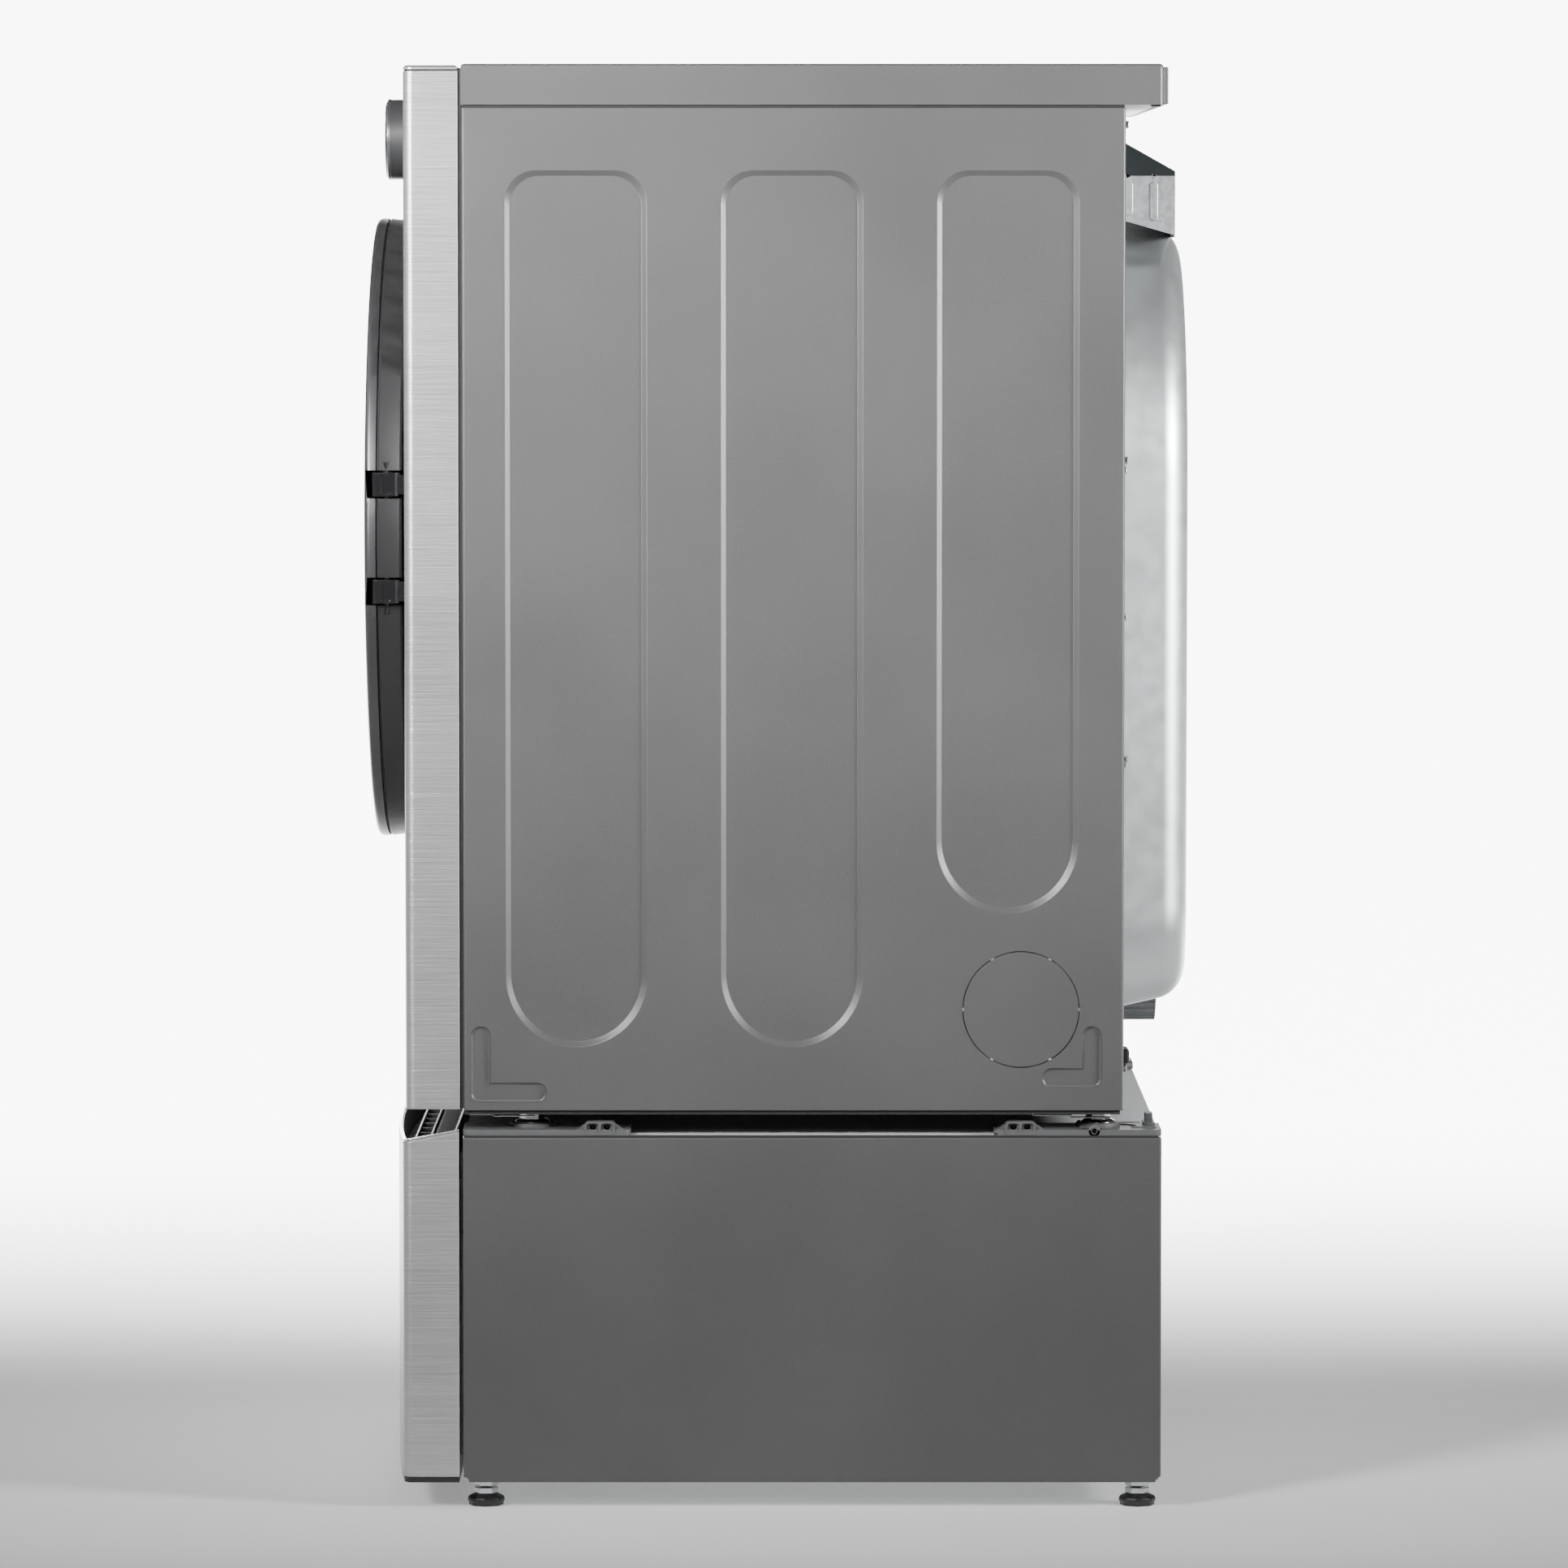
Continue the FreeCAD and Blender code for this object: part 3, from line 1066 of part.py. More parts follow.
def foot_socket(y):
    z1 = PEDESTAL_HEIGHT + BRACKET_THICK
    outer = rod_z(MACHINE_FOOT_R + SOCKET_WALL, MACHINE_FOOT_X, y, z1 - OVER, z1 + SOCKET_RISE)
    return outer.cut(rod_z(MACHINE_FOOT_R + SOCKET_ROOM, MACHINE_FOOT_X, y, z1, z1 + SOCKET_RISE + OVER))


def pedestal_brackets():
    boss_front, boss_rear = BOSS_Y
    foot_front, foot_rear = MACHINE_FOOT_Y
    inner, outer, front_in, rear_in, low, high = HOOK_TAB
    front = join([bracket(SIDE_FRONT, SIDE_FRONT + BRACKET_LENGTH, boss_front), foot_socket(foot_front)])
    hook = block(HALF - inner, HALF - outer, PED_REAR - front_in, PED_REAR - rear_in,
                 PEDESTAL_HEIGHT + low, PEDESTAL_HEIGHT + high)
    rear = join([bracket(PED_REAR - BRACKET_LENGTH, PED_REAR, boss_rear), foot_socket(foot_rear), hook])
    return Part.makeCompound([front, rear, mirrored(front), mirrored(rear)])


def bracket_screws():
    x1 = HALF - BRACKET_INSET
    z = PEDESTAL_HEIGHT + BRACKET_THICK + SCREW_RISE
    screws = []
    for boss_y in BOSS_Y:
        for side in (-1, 1):
            y = boss_y + side * SCREW_PITCH / 2
            shank = Part.makeCylinder(SCREW_R, SCREW_SHANK, point(x1 - SCREW_SHANK - OVER, y, z), X_AXIS)
            head = Part.makeCylinder(SCREW_R + OVER, SCREW_HEAD, point(x1 - SCREW_HEAD - OVER, y, z), X_AXIS)
            screws.append(join([shank, head]))
    return Part.makeCompound(screws + [mirrored(screw) for screw in screws])


def drawer_plan(inset, z):
    """Plan of the drawer front: a shallow bow with rounded corners."""
    x = HALF - inset
    y = DRAWER_FRONT + inset
    radius = EDGE_R - inset
    half = math.sqrt(0.5) * radius
    rear = FRONT_Y + FRONT_DEPTH - (0 if inset else OVER)
    right_in = point(x - radius, y, z)
    left_in = point(-x + radius, y, z)
    edges = [
        Part.LineSegment(point(-x, rear, z), point(-x, y + radius, z)).toShape(),
        Part.Arc(point(-x, y + radius, z), point(-x + radius - half, y + radius - half, z), left_in).toShape(),
        Part.Arc(left_in, point(0, y - DRAWER_BOW, z), right_in).toShape(),
        Part.Arc(right_in, point(x - radius + half, y + radius - half, z), point(x, y + radius, z)).toShape(),
        Part.LineSegment(point(x, y + radius, z), point(x, rear, z)).toShape(),
        Part.LineSegment(point(x, rear, z), point(-x, rear, z)).toShape(),
    ]
    return Part.Face(Part.Wire(edges))


def above_slope(lift):
    """Everything above the drawer front's sloping top edge."""
    front = DRAWER_FRONT - DRAWER_BOW - PAST
    rear = FRONT_Y + FRONT_DEPTH + PAST
    slope = (DRAWER_HIGH_TOP - DRAWER_LOW_TOP) / (FRONT_DEPTH - 3 * OVER)
    low = DRAWER_LOW_TOP + lift + slope * (front - DRAWER_FRONT)
    high = DRAWER_LOW_TOP + lift + slope * (rear - DRAWER_FRONT)
    corners = [(front, low), (rear, high), (rear, high + SLOPE_CUT), (front, low + SLOPE_CUT)]
    points = [point(-HALF - PAST, y, z) for y, z in corners]
    return Part.Face(Part.makePolygon(points + points[:1])).extrude(point(WIDTH + 2 * PAST, 0, 0))


def drawer_bar(z0, height, inset, lift):
    solid = drawer_plan(inset, z0).extrude(point(0, 0, height))
    return solid.cut(above_slope(lift))


def drawer_front():
    low = PED_BOTTOM + KICK_HEIGHT
    outer = drawer_bar(low, DRAWER_TALL, 0, -DRAWER_TRIM)
    inner = drawer_bar(low + FRONT_SHEET, DRAWER_TALL, FRONT_SHEET, -DRAWER_TRIM - FRONT_SHEET)
    return outer.cut(inner)


def drawer_trim():
    return drawer_bar(PED_BOTTOM + KICK_HEIGHT, DRAWER_TALL, 0, 0).common(above_slope(-DRAWER_TRIM))


def drawer_kick():
    return drawer_bar(PED_BOTTOM - KICK_INSET, KICK_HEIGHT + KICK_INSET, KICK_INSET, 0)


def drawer_box():
    x = DRAWER_BOX_HALF
    y0 = FRONT_Y + FRONT_DEPTH - OVER
    z0 = PED_BOTTOM + DRAWER_RAISED
    outer = block(-x, x, y0, y0 + DRAWER_BOX_DEPTH, z0, z0 + DRAWER_BOX_HEIGHT)
    inner = block(-x + FRONT_SHEET, x - FRONT_SHEET, y0 + FRONT_SHEET, y0 + DRAWER_BOX_DEPTH - FRONT_SHEET,
                  z0 + FRONT_SHEET, z0 + DRAWER_BOX_HEIGHT + OVER)
    face = block(-x, x, y0, y0 + FRONT_SHEET, z0, DRAWER_HIGH_TOP - DRAWER_FACE_BELOW)
    return join([outer.cut(inner), face])


def rail(x0, x1, web_outside, level, y0, y1):
    """C-section drawer rail; its web is on the cabinet's side or the drawer's."""
    z0 = RAIL_Z + RAIL_STEP * level
    z1 = RAIL_Z + RAIL_HEIGHT - RAIL_STEP * level
    body = block(x0, x1, y0, y1, z0, z1)
    if web_outside:
        space = block(x0 - OVER, x1 - FRONT_SHEET, y0 - OVER, y1 + OVER, z0 + FRONT_SHEET, z1 - FRONT_SHEET)
    else:
        space = block(x0 + FRONT_SHEET, x1 + OVER, y0 - OVER, y1 + OVER, z0 + FRONT_SHEET, z1 - FRONT_SHEET)
    return body.cut(space)


RAIL_START = SIDE_FRONT + RAIL_BEHIND
RAIL_END = RAIL_START + RAIL_LENGTH
PED_WALL = HALF - FRONT_SHEET         # inner face of the pedestal's side


def slide_outers():
    return both_sides(rail(PED_WALL - OUTER_RAIL, PED_WALL, True, 0, RAIL_START, RAIL_END))


def slide_middles():
    inner, outer = MIDDLE_RAIL
    return both_sides(rail(PED_WALL - inner, PED_WALL - outer, True, 1, RAIL_START, RAIL_END))


def slide_inners():
    edge, shorter = INNER_RAIL
    return both_sides(rail(DRAWER_BOX_HALF, PED_WALL - edge, False, 2, RAIL_START, RAIL_END - shorter))


def pedestal_foot(place):
    x, y = place
    pad = rod_z(FOOT_PAD_R, x, y, 0, FOOT_PAD)
    pad = pad.makeChamfer(FOOT_CHAMFER, [edge for edge in pad.Edges if edge.BoundBox.ZMin > FOOT_PAD - NEAR])
    hexed = hexagon(HEX_ACROSS, x, y, FOOT_PAD - OVER, FOOT_PAD + HEX_HEIGHT)
    stud = rod_z(FOOT_STUD_R, x, y, FOOT_PAD, FOOT_PAD + FOOT_STUD)
    return join([pad, hexed, stud])


def foot_locknuts():
    nuts = []
    for x, y in foot_places().values():
        z0 = FOOT_PAD + HEX_HEIGHT + NUT_GAP
        z1 = PED_BOTTOM + BASE_RISE
        nut = hexagon(HEX_ACROSS, x, y, z0, z1)
        nuts.append(nut.cut(rod_z(FOOT_STUD_R + FIT, x, y, z0 - OVER, z1 + OVER)))
    return Part.makeCompound(nuts)


def nodes():
    parts = {
        "side_panel_left": mirrored(side_panel()),
        "side_panel_right": side_panel(),
        "vent_knockouts": vent_knockouts(),
        "top_cover": top_cover(),
        "front_panel": front_panel(),
        "front_top_cap": front_top_cap(),
        "display_window": display_window(),
        "rear_panel": rear_panel(),
        "rear_duct_cover": rear_duct_cover(),
        "rear_hood": rear_hood(),
        "exhaust_duct": exhaust_duct(),
        "terminal_clip": terminal_clip(),
        "base_pan": base_pan(),
        "machine_feet": machine_feet(),
        "front_bulkhead": front_bulkhead(),
        "mouth_tunnel": mouth_tunnel(),
        "rear_bulkhead": rear_bulkhead(),
        "drum_seals": drum_seals(),
        "drum_shell": drum_shell(),
        "drum_lifters": drum_lifters(),
        "roller_left": roller(-1),
        "roller_right": roller(1),
        "roller_shafts": roller_shafts(),
        "drive_belt": drive_belt(),
        "idler_pulley": idler_pulley(),
        "idler_arm": idler_arm(),
        "motor_body": motor_body(),
        "motor_shaft": motor_shaft(),
        "blower_wheel": blower_wheel(),
        "blower_housing": blower_housing(),
        "lint_duct": lint_duct(),
        "lint_filter": lint_filter(),
        "heater_box": heater_box(),
        "selector_knob": selector_knob(),
        "control_board": control_board(),
        "door_front_ring": door_front_ring(),
        "door_rear_ring": door_rear_ring(),
        "door_glass": door_glass(),
        "door_bowl": door_bowl(),
        "door_hinge_bracket": door_hinge_bracket(),
        "door_latch": door_latch(),
        "pedestal_cabinet": pedestal_cabinet(),
        "pedestal_base": pedestal_base(),
        "pedestal_top_frame": pedestal_top_frame(),
        "pedestal_brackets": pedestal_brackets(),
        "bracket_screws": bracket_screws(),
        "drawer_front": drawer_front(),
        "drawer_trim": drawer_trim(),
        "drawer_kick": drawer_kick(),
        "drawer_box": drawer_box(),
        "slide_outers": slide_outers(),
        "slide_middles": slide_middles(),
        "slide_inners": slide_inners(),
        "foot_locknuts": foot_locknuts(),
    }
    for name, x in BUTTON_X.items():
        parts[name] = push_button(x)
    for name, place in foot_places().items():
        parts[name] = pedestal_foot(place)
    return parts


def main():
    os.makedirs("parts", exist_ok=True)
    for name, shape in nodes().items():
        shape.exportStep("parts/" + name + ".step")
        box = shape.BoundBox
        print(f"{name:22s} solids {len(shape.Solids):2d} valid {shape.isValid()} volume {shape.Volume:12.1f} "
              f"x {box.XMin:7.1f} {box.XMax:7.1f}  y {box.YMin:7.1f} {box.YMax:7.1f}  "
              f"z {box.ZMin:7.1f} {box.ZMax:7.1f}")


main()
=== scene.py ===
import json
import logging
import math
from dataclasses import dataclass, field
from enum import Enum
from typing import Callable, Iterable, Sequence

import bmesh
import bpy
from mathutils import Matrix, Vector


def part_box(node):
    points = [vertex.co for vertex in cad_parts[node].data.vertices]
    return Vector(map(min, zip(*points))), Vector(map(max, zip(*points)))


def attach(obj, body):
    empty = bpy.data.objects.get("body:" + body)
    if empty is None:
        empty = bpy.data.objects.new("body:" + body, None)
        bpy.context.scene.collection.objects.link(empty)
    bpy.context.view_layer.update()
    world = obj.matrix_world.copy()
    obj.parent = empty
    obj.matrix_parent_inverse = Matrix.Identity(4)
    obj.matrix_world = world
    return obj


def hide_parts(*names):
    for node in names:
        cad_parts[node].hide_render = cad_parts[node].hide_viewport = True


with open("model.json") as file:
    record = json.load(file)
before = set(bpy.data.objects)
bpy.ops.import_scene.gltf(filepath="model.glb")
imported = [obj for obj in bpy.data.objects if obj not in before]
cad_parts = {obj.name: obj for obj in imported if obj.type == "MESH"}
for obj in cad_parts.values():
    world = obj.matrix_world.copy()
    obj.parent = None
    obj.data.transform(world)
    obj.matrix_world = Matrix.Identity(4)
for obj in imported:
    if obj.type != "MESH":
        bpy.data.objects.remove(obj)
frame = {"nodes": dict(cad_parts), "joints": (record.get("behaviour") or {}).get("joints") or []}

TINY = 1e-5                    # two places this close are the same
NEAR = 1e-4                    # an edge shorter than this has no direction
SAME_WAY = 0.99                # cosine between a face's normal and its direction
PAST = 0.01                    # how far a cutter goes past what it cuts
LOG = logging.getLogger("dryer")

Number = float | int
Profile = Sequence[tuple[float, float]]


# ---------------------------------------------------------------- materials
class Sock:
    """An output socket that takes part in Python expressions."""

    def __init__(self, graph: "Graph", socket: bpy.types.NodeSocket) -> None:
        """Keeps the graph that the socket belongs to."""
        self.graph = graph
        self.socket = socket

    def _math(self, operation: str, first: "Sock | Number", second: "Sock | Number") -> "Sock":
        """Adds one Math node.

        Args:
            operation: the Math node's operation.
            first: its first input.
            second: its second input.

        Returns:
            The node's result.
        """
        return self.graph.add("ShaderNodeMath", {"operation": operation}, {0: first, 1: second})

    def __add__(self, other: "Sock | Number") -> "Sock":
        """self + other."""
        return self._math("ADD", self, other)

    def __radd__(self, other: "Sock | Number") -> "Sock":
        """other + self."""
        return self._math("ADD", other, self)

    def __sub__(self, other: "Sock | Number") -> "Sock":
        """self - other."""
        return self._math("SUBTRACT", self, other)

    def __rsub__(self, other: "Sock | Number") -> "Sock":
        """other - self."""
        return self._math("SUBTRACT", other, self)

    def __mul__(self, other: "Sock | Number") -> "Sock":
        """self * other."""
        return self._math("MULTIPLY", self, other)

    def __rmul__(self, other: "Sock | Number") -> "Sock":
        """other * self."""
        return self._math("MULTIPLY", other, self)


class Graph:
    """The node graph of one new material or world."""

    def __init__(self, owner: bpy.types.Material | bpy.types.World) -> None:
        """Empties the owner's node tree.

        Args:
            owner: a new material or world.
        """
        self.owner = owner
        owner.use_nodes = True
        self.tree = owner.node_tree
        self.tree.nodes.clear()

    def raw(self, kind: str, settings: dict, inputs: dict) -> bpy.types.Node:
        """Adds a node with its settings, then its socket values or links.

        Args:
            kind: the node's type.
            settings: properties of the node.
            inputs: values or Sock links by socket name or number.

        Returns:
            The node.
        """
        node = self.tree.nodes.new(kind)
        for key, value in settings.items():
            setattr(node, key, value)
        for key, value in inputs.items():
            if isinstance(value, Sock):
                self.tree.links.new(value.socket, node.inputs[key])
            else:
                node.inputs[key].default_value = value
        return node

    def add(self, kind: str, settings: dict, inputs: dict, output: int | str = 0) -> Sock:
        """Adds a node and hands out one of its outputs."""
        return Sock(self, self.raw(kind, settings, inputs).outputs[output])

    def place(self, stretch: tuple[float, float, float]) -> Sock:
        """Object coordinates, stretched by a factor per axis."""
        coords = self.add("ShaderNodeTexCoord", {}, {}, "Object")
        return self.add("ShaderNodeMapping", {}, {"Vector": coords, "Scale": stretch})

    def noise(self, scale: float, detail: float, stretch: tuple[float, float, float] = (1, 1, 1)) -> Sock:
        """A noise value between 0 and 1.

        Args:
            scale: cells per metre.
            detail: octaves.
            stretch: factor per axis.

        Returns:
            The noise factor.
        """
        inputs = {"Vector": self.place(stretch), "Scale": scale, "Detail": detail}
        return self.add("ShaderNodeTexNoise", {}, inputs, "Fac")

    def shades(self, factor: Sock, low: Sequence[float], high: Sequence[float]) -> Sock:
        """Mixes two colours by a factor."""
        inputs = {"Factor": factor, 6: (*low, 1.0), 7: (*high, 1.0)}
        return self.add("ShaderNodeMix", {"data_type": "RGBA"}, inputs, 2)

    def output(self, shader: bpy.types.Node, kind: str = "ShaderNodeOutputMaterial") -> bpy.types.ID:
        """Links a shader node to the output.

        Args:
            shader: the surface shader.
            kind: the output node's type.

        Returns:
            The finished material or world.
        """
        end = self.raw(kind, {}, {})
        self.tree.links.new(shader.outputs[0], end.inputs["Surface"])
        return self.owner


class Texture(Enum):
    """How a surface is made."""

    PEBBLE = "baked paint with a fine pebble"
    BRUSHED = "steel brushed in level strokes"
    TURNED = "smooth turned or plated metal"
    SPANGLE = "hot-dip zinc with faint crystals"
    MOULDED = "moulded plastic"
    FELT = "pressed felt"
    GLASS = "clear or tinted glass"


@dataclass(frozen=True)
class Finish:
    """One finish of the appliance."""

    name: str
    slot: str
    texture: Texture
    colour: tuple[float, float, float]
    metallic: float = 0.0
    roughness: float = 0.4
    mottle: float = 0.06
    bump: float = 0.1
    coat: float = 0.0
    grain: float = 900.0

    def _tone(self, amount: float) -> tuple[float, float, float]:
        """The colour made lighter or darker by a share."""
        return tuple(min(1.0, part * (1 + amount)) for part in self.colour)

    def _pattern(self, graph: Graph) -> tuple[Sock, Sock]:
        """Builds the pattern.

        Args:
            graph: the material's graph.

        Returns:
            The colour factor and the fine relief.
        """
        cloud = graph.noise(5.0, 3.0)
        if self.texture is Texture.BRUSHED:
            strokes = graph.noise(1.0, 4.0, (14.0, 14.0, self.grain))
            long_strokes = graph.noise(1.0, 2.0, (3.0, 3.0, self.grain * 0.4))
            return cloud * 0.3 + strokes * 0.4 + long_strokes * 0.3, strokes
        if self.texture is Texture.SPANGLE:
            inputs = {"Vector": graph.place((1, 1, 1)), "Scale": self.grain}
            cells = graph.add("ShaderNodeTexVoronoi", {}, inputs, "Color")
            tone = graph.add("ShaderNodeSeparateColor", {}, {0: cells}, 0)
            fine = graph.noise(1800.0, 2.0)
            return cloud * 0.35 + tone * 0.35 + fine * 0.3, fine
        if self.texture is Texture.TURNED:
            streak = graph.noise(60.0, 4.0)
            return cloud * 0.5 + streak * 0.5, streak
        fine = graph.noise(self.grain, 3.0)
        speck = graph.noise(self.grain * 2.6, 1.0)
        return cloud * 0.3 + fine * 0.3 + speck * 0.4, fine

    def build(self) -> bpy.types.Material:
        """Makes the material.

        Returns:
            A node material for this finish.
        """
        graph = Graph(bpy.data.materials.new(self.name))
        factor, relief = self._pattern(graph)
        sharp = graph.add("ShaderNodeMapRange", {"clamp": True}, {0: factor, 1: 0.3, 2: 0.7, 3: 0.0, 4: 1.0})
        colour = graph.shades(sharp, self._tone(-self.mottle), self._tone(self.mottle))
        rough = self.roughness + (sharp - 0.5) * (0.3 * self.roughness)
        bump = graph.add("ShaderNodeBump", {}, {"Strength": self.bump, "Distance": 0.0004, "Height": relief})
        inputs = {"Base Color": colour, "Metallic": self.metallic, "Roughness": rough, "Normal": bump,
                  "Coat Weight": self.coat, "Coat Roughness": 0.12}
        if self.texture is Texture.FELT:
            inputs["Sheen Weight"] = 0.4
        if self.texture is Texture.GLASS:
            inputs.update({"Transmission Weight": 1.0, "IOR": 1.45, "Roughness": self.roughness})
        return graph.output(graph.raw("ShaderNodeBsdfPrincipled", {}, inputs))


CABINET_PAINT = Finish("cabinet paint", "cabinet_paint", Texture.PEBBLE, (0.092, 0.092, 0.092), 0.35, 0.40,
                       0.20, 0.35, 0.0, 700.0)
# Lighter paint for the vent bridges: a painted highlight where light catches their edges.
BRIDGE_HIGHLIGHT_PAINT = Finish("bridge painted highlight", "cabinet_paint", Texture.TURNED, (0.30, 0.30, 0.30), 0.4, 0.3)
# The cabinet paint made a little darker for the pedestal: painted shade low on the stack.
PEDESTAL_SHADED_PAINT = Finish("pedestal paint with painted shade", "cabinet_paint", Texture.PEBBLE, (0.085, 0.085, 0.085), 0.35, 0.40,
                        0.20, 0.35, 0.0, 700.0)
FRONT_STEEL = Finish("brushed front steel", "front_steel", Texture.BRUSHED, (0.50, 0.50, 0.505), 0.85, 0.36,
                     0.24, 0.55, 0.0, 1100.0)
CAP_SILVER = Finish("cap silver", "cap", Texture.BRUSHED, (0.45, 0.45, 0.455), 0.8, 0.30, 0.08, 0.15)
# Near-black matt finish for strips, rings and slabs set into gaps and recesses: painted shade where they fall dark.
SHADE_BLACK = Finish("painted shade black", "black_plastic", Texture.MOULDED, (0.008, 0.008, 0.008), 0.0, 0.6)
BLACK_PLASTIC = Finish("black plastic", "black_plastic", Texture.MOULDED, (0.012, 0.012, 0.013), 0.0, 0.32,
                       0.2, 0.12, 0.0, 1500.0)
GLOSS_BLACK = Finish("gloss black", "black_plastic", Texture.MOULDED, (0.01, 0.01, 0.011), 0.0, 0.08,
                     0.2, 0.02, 0.6)
DIM_STEEL = Finish("dim zinc", "zinc", Texture.TURNED, (0.10, 0.10, 0.102), 0.8, 0.3, 0.06, 0.04)
GREY_PLASTIC = Finish("grey plastic", "grey_plastic", Texture.MOULDED, (0.30, 0.31, 0.32), 0.0, 0.42,
                      0.05, 0.10, 0.0, 1600.0)
DOOR_GRAPHITE = Finish("door graphite", "door_chrome", Texture.TURNED, (0.075, 0.075, 0.078), 0.7, 0.34,
                       0.05, 0.03, 0.0)
DOOR_BAND = Finish("door band graphite", "door_chrome", Texture.TURNED, (0.035, 0.035, 0.036), 0.5, 0.40,
                   0.05, 0.03)
KNOB_GREY = Finish("knob grey", "knob", Texture.TURNED, (0.055, 0.055, 0.057), 0.5, 0.42, 0.05, 0.03, 0.1)
KNOB_RING = Finish("knob ring", "knob", Texture.TURNED, (0.30, 0.30, 0.31), 0.9, 0.24, 0.05, 0.02)
GALVANISED = Finish("galvanised steel", "galvanised", Texture.SPANGLE, (0.46, 0.48, 0.485), 0.6, 0.42,
                    0.14, 0.10, 0.0, 260.0)
DOME_ZINC = Finish("drawn zinc", "galvanised", Texture.TURNED, (0.66, 0.69, 0.70), 0.9, 0.40, 0.05, 0.03)
# Near-black copy of the galvanised hood for its upward roof faces: painted shade.
HOOD_ROOF_SHADE = Finish("hood roof painted shade", "galvanised", Texture.PEBBLE, (0.014, 0.018, 0.019), 0.3, 0.5)
DRUM_STEEL = Finish("drum steel", "drum_steel", Texture.TURNED, (0.62, 0.62, 0.64), 1.0, 0.24, 0.05, 0.04)
FELT = Finish("grey felt", "felt", Texture.FELT, (0.42, 0.40, 0.37), 0.0, 0.95, 0.2, 0.6, 0.0, 2500.0)
RUBBER = Finish("black rubber", "rubber", Texture.MOULDED, (0.02, 0.02, 0.02), 0.0, 0.75, 0.2, 0.2)
ZINC = Finish("bright zinc", "zinc", Texture.TURNED, (0.62, 0.63, 0.64), 1.0, 0.2, 0.06, 0.04)
CAST_GREY = Finish("cast grey", "cast_grey", Texture.PEBBLE, (0.085, 0.086, 0.088), 0.15, 0.5, 0.08, 0.15,
                   0.0, 1200.0)
# Near-black galvanised for the base pan: painted shade under the machine.
PAN_PAINTED_SHADE = Finish("base pan painted shade", "galvanised", Texture.PEBBLE, (0.02, 0.02, 0.02), 0.2, 0.7)
PALE_PLATE = Finish("pedestal top pale", "cast_grey", Texture.PEBBLE, (0.50, 0.51, 0.52), 0.0, 0.85,
                    0.05, 0.05)
TRIM_BRIGHT = Finish("bright trim", "trim_bright", Texture.TURNED, (0.8, 0.8, 0.8), 1.0, 0.14, 0.03, 0.01)
STUB_ZINC = Finish("crimped zinc", "galvanised", Texture.TURNED, (0.20, 0.21, 0.215), 0.9, 0.30, 0.25, 0.3)
STEEL = Finish("plain steel", "steel", Texture.TURNED, (0.45, 0.45, 0.46), 0.9, 0.38, 0.1, 0.08)
BOARD = Finish("board green", "board", Texture.MOULDED, (0.02, 0.09, 0.04), 0.0, 0.4)
DISPLAY = Finish("display lens", "display", Texture.MOULDED, (0.006, 0.006, 0.008), 0.0, 0.06, 0.1, 0.0, 1.0)
MARK = Finish("printed mark", "cap", Texture.MOULDED, (0.75, 0.76, 0.78), 0.0, 0.4)
TINTED_GLASS = Finish("tinted glass", "tinted_glass", Texture.GLASS, (0.16, 0.17, 0.19), 0.0, 0.02, 0.0, 0.0)
CLEAR_GLASS = Finish("clear glass", "clear_glass", Texture.GLASS, (0.86, 0.90, 0.91), 0.0, 0.03, 0.0, 0.0)


class Paints:
    """Builds each finish once and hands it out."""

    made: dict[str, bpy.types.Material] = {}

    @classmethod
    def get(cls, finish: Finish) -> bpy.types.Material:
        """The material of a finish, built the first time that it is asked for.

        Args:
            finish: the finish.

        Returns:
            Its material.
        """
        if finish.name not in cls.made:
            cls.made[finish.name] = finish.build()
        return cls.made[finish.name]


# ---------------------------------------------------------------- modelling
class Axis(Enum):
    """The direction a turned piece points, with its turn from +Z in radians."""

    X = (0.0, math.pi / 2, 0.0)
    Y = (-math.pi / 2, 0.0, 0.0)
    Z = (0.0, 0.0, 0.0)


